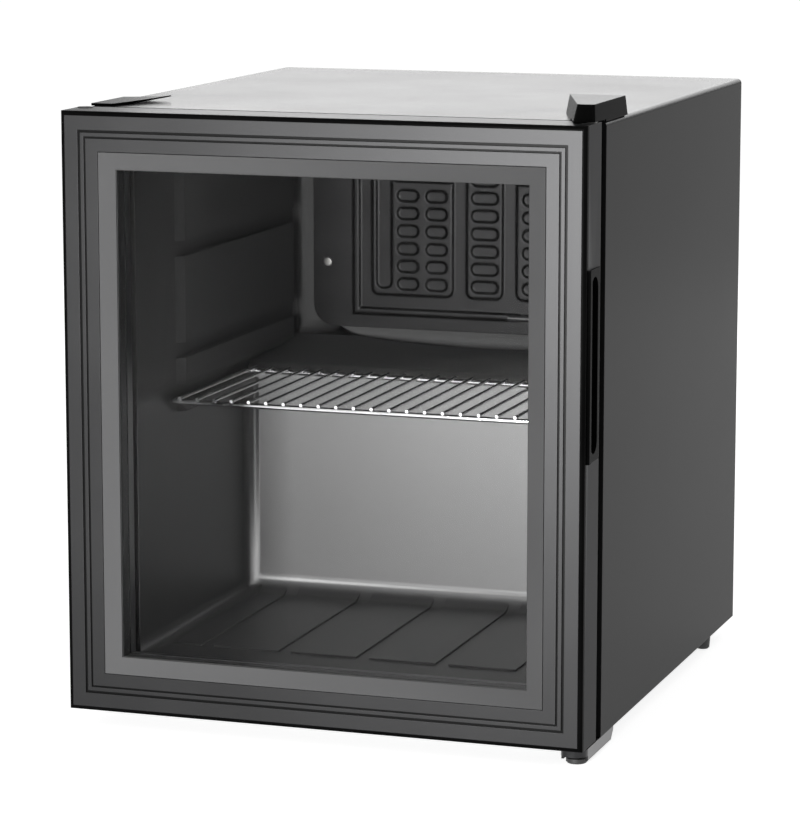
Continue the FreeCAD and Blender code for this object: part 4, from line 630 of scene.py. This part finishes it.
# Cabinet and door: the sheets, mouldings, frames and panes that keep their CAD shape, and how wide
# their edges are rounded. Where this is 0, the edges stay as the CAD shape has them.
edgeRounds = {"outer_casing": 0, "bottom_panel": 0.0005, "back_panel": 0.0004, "inner_liner": 0,
              "thermostat_housing": 0.0012, "evaporation_tray": 0.0006, "compressor_rail": 0.0004,
              "starter_relay_cover": 0.0014, "mains_inlet_clamp": 0.0008, "condenser_brackets": 0.0005,
              "top_hinge_bracket": 0.0004, "top_hinge_cover": 0.0011, "bottom_hinge_bracket": 0.0005,
              "left_foot_plate": 0.0004, "door_gasket": 0.0008,
              "door_core_frame": 0, "door_rear_frame": 0.0006, "door_edge_trim": 0, "door_face_frame": 0,
              "grip_left": 0.0005, "grip_right": 0.0005, "hole_plugs": 0.0003, "drain_tube": 0,
              "thermostat_knob": 0.0007, "top_hinge_pin": 0.0003, "bottom_hinge_pin": 0.0003,
              "door_bush_top": 0.0002, "door_bush_bottom": 0.0002, "outer_glass": 0.0002,
              "inner_glass": 0.0002, "door_bevel_trim": 0, "glass_spacer": 0, "glazing_seal": 0,
              "gasket_magnets": 0, "insulation_foam": 0}
for node, width in edgeRounds.items():
    dressed(node, width, dressing)
print("sheets, mouldings and brackets dressed:", len(edgeRounds))


def patchField(x, z, left, right, low, high, corner):
    # distance from a rounded rectangle, below zero inside it
    across = abs(x - (left + right) * 0.5) - ((right - left) * 0.5 - corner)
    along = abs(z - (low + high) * 0.5) - ((high - low) * 0.5 - corner)
    outside = (across.max(0) ** 2 + along.max(0) ** 2) ** 0.5
    return outside + across.max(along).min(0) - corner


# Evaporator: a flat plate with blown channels. Shares of its width count from its middle, and shares
# of its height from its foot. Channels and islands are given as left, right, low, high and the round
# of their corners, which is one for all side channels, in shares. Pill columns are given as their
# place, the rows in them and the pills' width. All other lengths are in metres.
evaporator = {
    "corner": 0.02, "cornerSteps": 10, "notch": (0.032, 0.044), "rise": 0.0016, "slope": 0.0030,
    "slopeStart": 0.0002, "step": 0.0009, "skirtSteps": 1.5, "sink": 0.00004, "sharp": 40, "sideRound": 0.006,
    "sideChannels": [(-0.386, -0.358, 0.06, 0.945), (0.358, 0.386, 0.302, 0.945),
                     (-0.386, 0.107, 0.06, 0.107)],
    "channels": [(-0.386, 0.386, 0.9, 0.945, 0.004), (-0.0565, 0.0565, 0.16, 0.945, 0.025),
                 (0.0865, 0.331, 0.16, 0.945, 0.025)],
    "islands": [(0.274, 0.308, 0.21, 0.87, 0.014), (0.06, 0.285, 0.74, 0.87, 0.006)],
    "pillRows": 0.0873, "firstRow": 0.225, "pillHeight": 0.0385,
    "pillColumns": [(0.222, 6, 0.05), (0.139, 6, 0.05), (0, 8, 0.066)]}


def reliefTree(values):
    # a grid raised inside the channels and left flat on the bonded islands
    grow = Grow("blownPlate", {"Width": "Float", "Height": "Float", "Foot": "Float", "Front": "Float",
                               "Rise": "Float", "Slope": "Float", "Columns": "Int", "Rows": "Int",
                               "Material": "Material"})
    width, height, foot, front = [grow.sig(label) for label in ("Width", "Height", "Foot", "Front")]
    grid = grow.node("GeometryNodeMeshGrid", {
        "Size X": width, "Size Y": height, "Vertices X": grow.given["Columns"],
        "Vertices Y": grow.given["Rows"]})
    spot = grow.node("GeometryNodeInputPosition")
    x, flat = [grow.sig(grow.node("ShaderNodeSeparateXYZ", {"Vector": spot}, output=name)) for name in "XY"]
    z = flat + height * 0.5

    def patch(across, left, right, low, high, corner):
        return patchField(
            across, z, width * left, width * right, height * low, height * high, width * corner)

    channels = [patch(x, *shares, values["sideRound"]) for shares in values["sideChannels"]]
    channels += [patch(abs(x), *shares) for shares in values["channels"]]
    islands = [patch(abs(x), *shares) for shares in values["islands"]]
    pitch = height * values["pillRows"]
    first = height * values["firstRow"]
    for column, rows, wide in values["pillColumns"]:
        level = (z - first) / pitch
        row = level.work("ROUND", level).max(0).min(rows - 1)
        tall = height * values["pillHeight"] * 0.5
        reach = width * (wide / 2) - tall
        along = abs(z - first - row * pitch)
        across = (abs(abs(x) - width * column) - reach).max(0)
        islands.append((across ** 2 + along ** 2) ** 0.5 - tall)
    inside = channels[0]
    for field in channels[1:]:
        inside = inside.min(field)
    bonded = islands[0]
    for field in islands[1:]:
        bonded = bonded.min(field)
    depth = inside.max(bonded * -1)
    kept = grow.node("GeometryNodeDeleteGeometry", {
        "Geometry": grid, "Selection": depth > values["step"] * values["skirtSteps"]}, {"domain": "POINT"})
    lift = grow.node("ShaderNodeMapRange", {
        "Value": depth * -1, "From Min": -values["slopeStart"], "From Max": grow.given["Slope"],
        "To Max": grow.given["Rise"]}, {"interpolation_type": "SMOOTHSTEP"})
    place = grow.node("ShaderNodeCombineXYZ", {"X": x, "Y": front - grow.sig(lift), "Z": z + foot})
    return grow.end(grow.node("GeometryNodeSetPosition", {"Geometry": kept, "Position": place}))


def arcPoints(centre, radius, start, stop, steps):
    angles = [math.radians(start + (stop - start) * i / steps) for i in range(steps + 1)]
    return [(centre[0] + radius * math.cos(a), centre[1] + radius * math.sin(a)) for a in angles]


def slabMesh(outline, front, back):
    # a flat sheet that stands upright: its outline in X and Z, between two depths
    work = bmesh.new()
    near = [work.verts.new((x, front, z)) for x, z in outline]
    far = [work.verts.new((x, back, z)) for x, z in outline]
    work.faces.new(near)
    work.faces.new(far[::-1])
    for i in range(len(near)):
        work.faces.new((near[i - 1], far[i - 1], far[i], near[i]))
    bmesh.ops.recalc_face_normals(work, faces=work.faces)
    return meshOf(work, "slab")


def makeEvaporator(values):
    low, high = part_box("evaporator_plate")
    front = low.y + values["rise"]
    corner = values["corner"]
    notch = values["notch"]
    outline = [(high.x, low.z + notch[1])]
    for x, z, start in ((high.x - corner, high.z - corner, 0), (low.x + corner, high.z - corner, 90),
                        (low.x + corner, low.z + corner, 180)):
        outline += arcPoints((x, z), corner, start, start + 90, values["cornerSteps"])
    outline += [(high.x - notch[0], low.z), (high.x - notch[0], low.z + notch[1])]
    sheet = slabMesh(outline, front, high.y)
    width = high.x - low.x
    height = high.z - low.z
    relief = reliefTree(values).run(bpy.data.meshes.new("seed"), {
        "Width": width, "Height": height, "Foot": low.z, "Front": front + values["sink"],
        "Rise": values["rise"], "Slope": values["slope"], "Columns": int(width / values["step"]),
        "Rows": int(height / values["step"]), "Material": paintOf["evaporator_plate"]})
    settle("evaporatorRelief", joined([sheet, relief]), "evaporator_plate", smooth=values["sharp"])


makeEvaporator(evaporator)
print("evaporator made")


def loosePieces(node):
    # the bounding boxes of the separate solids in a CAD node, in one order for every run
    work = bmesh.new()
    work.from_mesh(nodes[node].data)
    bmesh.ops.remove_doubles(work, verts=work.verts, dist=dressing["merge"])
    left = set(work.verts)
    boxes = []
    while left:
        group = {left.pop()}
        edge = set(group)
        while edge:
            edge = {e.other_vert(v) for v in edge for e in v.link_edges} - group
            group |= edge
        left -= group
        spots = [v.co for v in group]
        boxes.append((Vector([min(c[i] for c in spots) for i in range(3)]),
                      Vector([max(c[i] for c in spots) for i in range(3)])))
    work.free()
    return sorted(boxes, key=lambda box: tuple(box[0]))


# Screws and bolts: the way the head points, the head's height, sides and radius, the shank's radius
# and how wide the head's edge is rounded
fasteners = {
    "evaporator_screws": {"tip": (0, -1, 0), "head": 0.0014, "sides": 20, "radius": 0.004,
                          "shank": 0.0035, "round": 0.0005},
    "compressor_bolts": {"tip": (0, 0, 1), "head": 0.004, "sides": 6, "radius": 0.0055,
                         "shank": 0.003, "round": 0.0003},
    "condenser_screws": {"tip": (0, 1, 0), "head": 0.0014, "sides": 20, "radius": 0.004,
                         "shank": 0.0008, "round": 0.0005},
    "top_hinge_screws": {"tip": (0, 0, 1), "head": 0.0024, "sides": 6, "radius": 0.004,
                         "shank": 0.002, "round": 0.0002},
    "bottom_hinge_screws": {"tip": (0, 0, -1), "head": 0.0024, "sides": 6, "radius": 0.004,
                            "shank": 0.002, "round": 0.0002},
    "door_screws": {"tip": (0, 1, 0), "head": 0.0016, "sides": 20, "radius": 0.0036,
                    "shank": 0.0018, "round": 0.0005}}
studHabit = {"shankSides": 12, "roundSteps": 3, "roundCorner": 50, "sharp": 35}


def makeFasteners(values, habit):
    for node, look in values.items():
        tip = Vector(look["tip"])
        seats = []
        for low, high in loosePieces(node):
            length = abs((high - low).dot(tip))  # alike for all fasteners of a node
            seats.append((low + high) / 2 + tip * (length / 2 - look["head"]))
        mesh = studs.run(polyline(seats), {
            "Head Radius": look["radius"], "Head Length": look["head"], "Head Sides": look["sides"],
            "Shank Radius": look["shank"], "Shank Length": length - look["head"],
            "Shank Sides": habit["shankSides"],
            "Turn": Vector((0, 0, 1)).rotation_difference(tip).to_euler(),
            "Material": paintOf[node]},
            (look["round"], habit["roundSteps"], habit["roundCorner"]))
        settle(node + "Studs", mesh, node, smooth=habit["sharp"])


makeFasteners(fasteners, studHabit)
print("fasteners made")

# Refrigerant pipes: radius, bend and route, in metres from the middle of the cooler
pipes = {
    "suction_line": {"radius": 0.003, "bend": 0.009, "route": [
        (0.0234, 0.1794, 0.2852), (0.146, 0.1794, 0.2852), (0.146, 0.229, 0.2852), (0.146, 0.229, 0.1163),
        (0.146, 0.1735, 0.1163), (0.0871, 0.1735, 0.1163)]},
    "discharge_line": {"radius": 0.0024, "bend": 0.009, "route": [
        (0.0871, 0.1735, 0.0693), (0.203, 0.1735, 0.0693), (0.203, 0.237, 0.0693), (0.203, 0.237, 0.465),
        (0.185, 0.237, 0.465)]},
    "capillary_tube": {"radius": 0.0012, "bend": 0.0045, "route": [
        (0.1798, 0.237, 0.13), (0.1798, 0.237, 0.1165), (0.1556, 0.237, 0.1165), (0.1556, 0.2245, 0.1165),
        (0.1556, 0.2245, 0.3052), (0.1556, 0.1812, 0.3052), (0.1251, 0.1812, 0.3052)]},
    "sensor_tube": {"radius": 0.0012, "bend": 0.001, "route": [
        (0.163, -0.007, 0.415), (0.163, 0.184, 0.415)]}}
pipeHabit = {"steps": 8, "sharp": 50}

# Condenser: one tube in six passes, with straight wires on both of its sides. The tail is the drop to
# the drier: its place across, its bend and its foot.
condenser = {"radius": 0.0024, "top": 0.465, "pitch": 0.0428, "passes": 6, "half": 0.175, "depth": 0.237,
             "start": 0.185, "bend": 0.0202, "tail": (0.1798, 0.009, 0.214),
             "wire": 0.0008, "wires": 16, "reach": 0.1536, "low": 0.239, "high": 0.477,
             "steps": 14, "sharp": 50}


def makePipes(values, habit):
    for node, pipe in values.items():
        tube = tubeMesh(pipe["route"], pipe["radius"], pipe["bend"], node, steps=habit["steps"])
        settle(node + "Tube", tube, node, smooth=habit["sharp"])


def makeCondenser(values):
    levels = [values["top"] - i * values["pitch"] for i in range(values["passes"])]
    y = values["depth"]
    route = [(values["start"], y, levels[0])]
    side = -values["half"]
    for upper, lower in zip(levels, levels[1:]):
        route += [(side, y, upper), (side, y, lower)]
        side = -side
    end, bend, foot = values["tail"]
    route.append((end - 2 * bend, y, levels[-1]))
    coil = tubeMesh(route, values["radius"], values["bend"], "condenser_tube", steps=values["steps"])
    last = [route[-1], (end, y, levels[-1]), (end, y, foot)]
    tail = tubeMesh(last, values["radius"], bend, "condenser_tube")
    settle("condenserCoil", joined([coil, tail]), "condenser_tube", smooth=values["sharp"])
    offset = values["radius"] + values["wire"]
    step = (2 * values["reach"] / (values["wires"] - 1), 0, 0)
    reach = (0, 0, values["high"] - values["low"])
    racks = []
    for shift in (-offset, offset):
        first = (-values["reach"], y + shift, values["low"])
        racks.append(rackMesh(values["wires"], first, step, reach, values["wire"], "condenser_wires"))
    settle("condenserRacks", joined(racks), "condenser_wires", smooth=values["sharp"])


makePipes(pipes, pipeHabit)
makeCondenser(condenser)
print("pipes and condenser made")

# Round pieces, from their radii and heights, and the compressor's pot on its foot plate
compressor = {"centre": (0.03, 0.1735), "radius": 0.057, "low": 0.0273, "high": 0.1723, "dome": 0.022,
              "domeSteps": 9, "seam": 0.06, "seamLow": 0.0882, "seamHigh": 0.0912, "seamRound": 0.0006,
              "foot": ((-0.054, 0.1295, 0.0253), (0.114, 0.2175, 0.0273)), "sides": 72, "sharp": 38}
grommet = {"radius": 0.009, "waist": 0.0068, "bore": 0.0033, "groove": 0.0026, "sides": 32, "sharp": 40}

# The shoulders' radii and heights are shares of the radius and of the taper
drier = {"centre": (0.1798, 0.237), "radius": 0.008, "neck": 0.003, "low": 0.13, "high": 0.214,
         "taper": 0.009, "shoulderShares": ((0.7, 0.35), (0.93, 0.7), (1, 1.2)), "sides": 40, "sharp": 45}

# The thread's root is a share of the stud's radius, and its flanks are shares of the pitch
footPad = {"radius": 0.0085, "height": 0.004, "rim": 0.0011, "collar": 0.00425, "collarTop": 0.006,
           "stud": 0.0025, "turns": 7, "rootShare": 0.86, "flankShares": (0.3, 0.8),
           "sides": 40, "sharp": 30}
rearFoot = {"tip": 0.006, "radius": 0.007, "round": 0.0012, "sides": 36, "sharp": 35}


def blockMesh(low, high):
    work = bmesh.new()
    bmesh.ops.create_cube(work, size=1)
    for vert in work.verts:
        vert.co = [low[i] if vert.co[i] < 0 else high[i] for i in range(3)]
    return meshOf(work, "block")


def axisOf(low, high):
    return (low.x + high.x) / 2, (low.y + high.y) / 2


def makeCompressor(values):
    radius = values["radius"]
    dome = values["dome"]
    low = arcPoints((radius - dome, values["low"] + dome), dome, -90, 0, values["domeSteps"])
    high = arcPoints((radius - dome, values["high"] - dome), dome, 0, 90, values["domeSteps"])
    seam, under, over, edge = [values[key] for key in ("seam", "seamLow", "seamHigh", "seamRound")]
    band = [(radius, under), (seam - edge, under), (seam, under + edge),
            (seam, over - edge), (seam - edge, over), (radius, over)]
    outline = [(0, values["low"]), *low, *band, *high, (0, values["high"])]
    pot = turned(outline, values["centre"], values["sides"])
    settle("compressorPot", joined([pot, blockMesh(*values["foot"])]), "compressor", smooth=values["sharp"])


def makeGrommets(values):
    radius, waist, bore, groove = [values[key] for key in ("radius", "waist", "bore", "groove")]
    mounts = []
    for low, high in loosePieces("compressor_grommets"):
        middle = (low.z + high.z) / 2
        outline = [(bore, low.z), (radius, low.z), (radius, middle - groove), (waist, middle - groove / 2),
                   (waist, middle + groove / 2), (radius, middle + groove), (radius, high.z),
                   (bore, high.z), (bore, low.z)]
        mounts.append(turned(outline, axisOf(low, high), values["sides"]))
    settle("grommetMounts", joined(mounts), "compressor_grommets", smooth=values["sharp"])


def makeDrier(values):
    low, high, taper, neck = [values[key] for key in ("low", "high", "taper", "neck")]
    outline = [(0, low), (neck, low), (neck, low + neck)]
    outline += [(values["radius"] * out, low + neck + taper * up) for out, up in values["shoulderShares"]]
    outline += [(r, low + high - z) for r, z in outline[::-1]]
    capsule = turned(outline, values["centre"], values["sides"])
    settle("drierCapsule", capsule, "filter_drier", smooth=values["sharp"])


def makeFeet(front, rear):
    for node in ("front_foot_right", "front_foot_left"):
        low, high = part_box(node)
        radius, rim, collar, stud = [front[key] for key in ("radius", "rim", "collar", "stud")]
        outline = [(0, low.z), (radius - rim, low.z), (radius, low.z + rim), (radius, front["height"]),
                   (collar, front["height"]), (collar, front["collarTop"]), (stud, front["collarTop"])]
        pitch = (high.z - front["collarTop"]) / front["turns"]
        inner, outer = front["flankShares"]
        for i in range(front["turns"]):
            base = front["collarTop"] + i * pitch
            outline += [(stud * front["rootShare"], base + pitch * inner), (stud, base + pitch * outer)]
        outline.append((0, high.z))
        pad = turned(outline, axisOf(low, high), front["sides"])
        settle(node + "Pad", pad, node, smooth=front["sharp"])
    feet = []
    for low, high in loosePieces("rear_feet"):
        outline = [(0, low.z), (rear["tip"] - rear["round"], low.z), (rear["tip"], low.z + rear["round"]),
                   (rear["radius"], high.z), (0, high.z)]
        feet.append(turned(outline, axisOf(low, high), rear["sides"]))
    settle("rearFeet", joined(feet), "rear_feet", smooth=rear["sharp"])


makeCompressor(compressor)
makeGrommets(grommet)
makeDrier(drier)
makeFeet(footPad, rearFoot)
print("machine room and feet made")

# Cap over the unused hinge holes: a sheet that curls up at its inner back corner. Its front edge is
# a share of its width, and its sheet is thinner at the lifted corner than at the flat one.
blankCap = {"frontShare": 0.42, "low": 0.002, "thin": 0.0009, "steps": 14, "curl": 1.5, "sharp": 40}


def makeBlankCap(values):
    low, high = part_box("hinge_blank_cover")
    steps = values["steps"]
    shares = [i / steps for i in range(steps + 1)]
    lift = high.z - low.z
    work = bmesh.new()
    rims = []
    for base, rise in ((values["low"], lift - values["low"]), (0, lift - values["thin"])):
        rows = []
        for v in shares:
            wide = (high.x - low.x) * (values["frontShare"] + (1 - values["frontShare"]) * v)
            y = low.y + (high.y - low.y) * v
            spots = [(low.x + wide * u, y, low.z + base + rise * (u * v) ** values["curl"]) for u in shares]
            rows.append([work.verts.new(spot) for spot in spots])
        for near, far in zip(rows, rows[1:]):
            for i in range(steps):
                work.faces.new((near[i], near[i + 1], far[i + 1], far[i]))
        rims.append([*rows[0][:-1], *[row[-1] for row in rows[:-1]], *rows[-1][:0:-1],
                     *[row[0] for row in rows[:0:-1]]])
    top, under = rims
    for i in range(len(top)):
        work.faces.new((top[i - 1], under[i - 1], under[i], top[i]))
    bmesh.ops.recalc_face_normals(work, faces=work.faces)
    settle("blankCapSheet", meshOf(work, "cap"), "hinge_blank_cover", smooth=values["sharp"])


makeBlankCap(blankCap)
print("cap made")

# Shelf: a bent rod frame with wires welded across it, whose ends reach a little past the rod
shelf = {"rod": 0.0022, "wire": 0.0014, "wires": 23, "corner": 0.005, "inset": 0.008, "wireEnd": 0.0025,
         "rodLevelShare": 0.98, "rodSides": 16, "wireSides": 12, "sharp": 50}


def makeShelf(values):
    low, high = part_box("wire_shelf")
    rod = values["rod"]
    x = high.x - rod
    front = low.y + values["wireEnd"]
    back = high.y - values["wireEnd"]
    z = low.z + rod * values["rodLevelShare"]
    loop = [(-x, front, z), (x, front, z), (x, back, z), (-x, back, z)]
    frameRod = tubeMesh(loop, rod, values["corner"], "wire_shelf", closed=True, sides=values["rodSides"])
    reach = x - values["inset"]
    first = (-reach, low.y, high.z - values["wire"])
    step = (2 * reach / (values["wires"] - 1), 0, 0)
    wires = rackMesh(values["wires"], first, step, (0, high.y - low.y, 0), values["wire"], "wire_shelf",
                     values["wireSides"])
    settle("shelfWirework", joined([frameRod, wires]), "wire_shelf", smooth=values["sharp"])


makeShelf(shelf)
print("shelf made")

# Studio: a pale floor and sky that the camera and the gloss see as white, and soft lamps, each with
# its place, aim, size and power
studio = {
    "floorSize": 40, "floorLevel": -0.0002, "floorCloud": 0.8, "floorDark": (0.80, 0.80, 0.80),
    "floorLight": (0.84, 0.84, 0.84), "floorGlow": 0.76, "skyFill": 0.34,
    "lamps": {
        "frontSoft": ((-0.14, -2.2, 0.34), (0, -0.2, 0.25), (0.46, 0.62), 50),
        "rightSoft": ((2.3, 0.1, 1.1), (0.1, 0, 0.2), (1.2, 1.2), 10),
        "backSoft": ((-0.25, 2.5, 1.05), (0, 0.1, 0.45), (2.1, 0.7), 13)}}


def seenMask(paint):
    ray = {key: paint.node("LightPath", output=key) for key in
           ("Is Camera Ray", "Is Glossy Ray", "Is Transmission Ray")}
    return ray["Is Camera Ray"].max(ray["Is Glossy Ray"]).max(ray["Is Transmission Ray"])


def makeSky(values):
    world = bpy.data.worlds.new("studio")
    bpy.context.scene.world = world
    sky = Paint(world)
    seen = seenMask(sky)
    light = sky.node("Background", inputs={
        "Color": (1, 1, 1), "Strength": seen + (1 - seen) * values["skyFill"]})
    sky.node("OutputWorld", inputs={"Surface": light})


def makeFloor(values):
    half = values["floorSize"] / 2
    corners = [(x, y, values["floorLevel"]) for x, y in
               ((-half, -half), (half, -half), (half, half), (-half, half))]
    mesh = bpy.data.meshes.new("floor")
    mesh.from_pydata(corners, [], [(0, 1, 2, 3)])
    floor = added("floor", mesh)
    paint = Paint(bpy.data.materials.new("floorPaint"))
    cloud = paint.noise(values["floorCloud"], detail=2)
    tone = paint.mix(cloud, values["floorDark"], values["floorLight"])
    matt = paint.node("BsdfDiffuse", inputs={"Color": tone})
    glow = paint.node("Emission", inputs={
        "Color": (1, 1, 1), "Strength": seenMask(paint) * values["floorGlow"]})
    paint.node("OutputMaterial", inputs={"Surface": paint.node("AddShader", inputs={0: matt, 1: glow})})
    mesh.materials.append(paint.owner)


def makeLamps(values):
    for name, (place, aim, size, watts) in values["lamps"].items():
        data = bpy.data.lights.new(name, "AREA")
        data.shape = "RECTANGLE"
        data.size, data.size_y = size
        data.energy = watts
        thing = added(name, data)
        thing.location = place
        thing.rotation_euler = (Vector(aim) - Vector(place)).to_track_quat("-Z", "Y").to_euler()


makeSky(studio)
makeFloor(studio)
makeLamps(studio)
bpy.context.scene.view_settings.view_transform = "Standard"
print("studio lit")

bpy.context.view_layer.update()
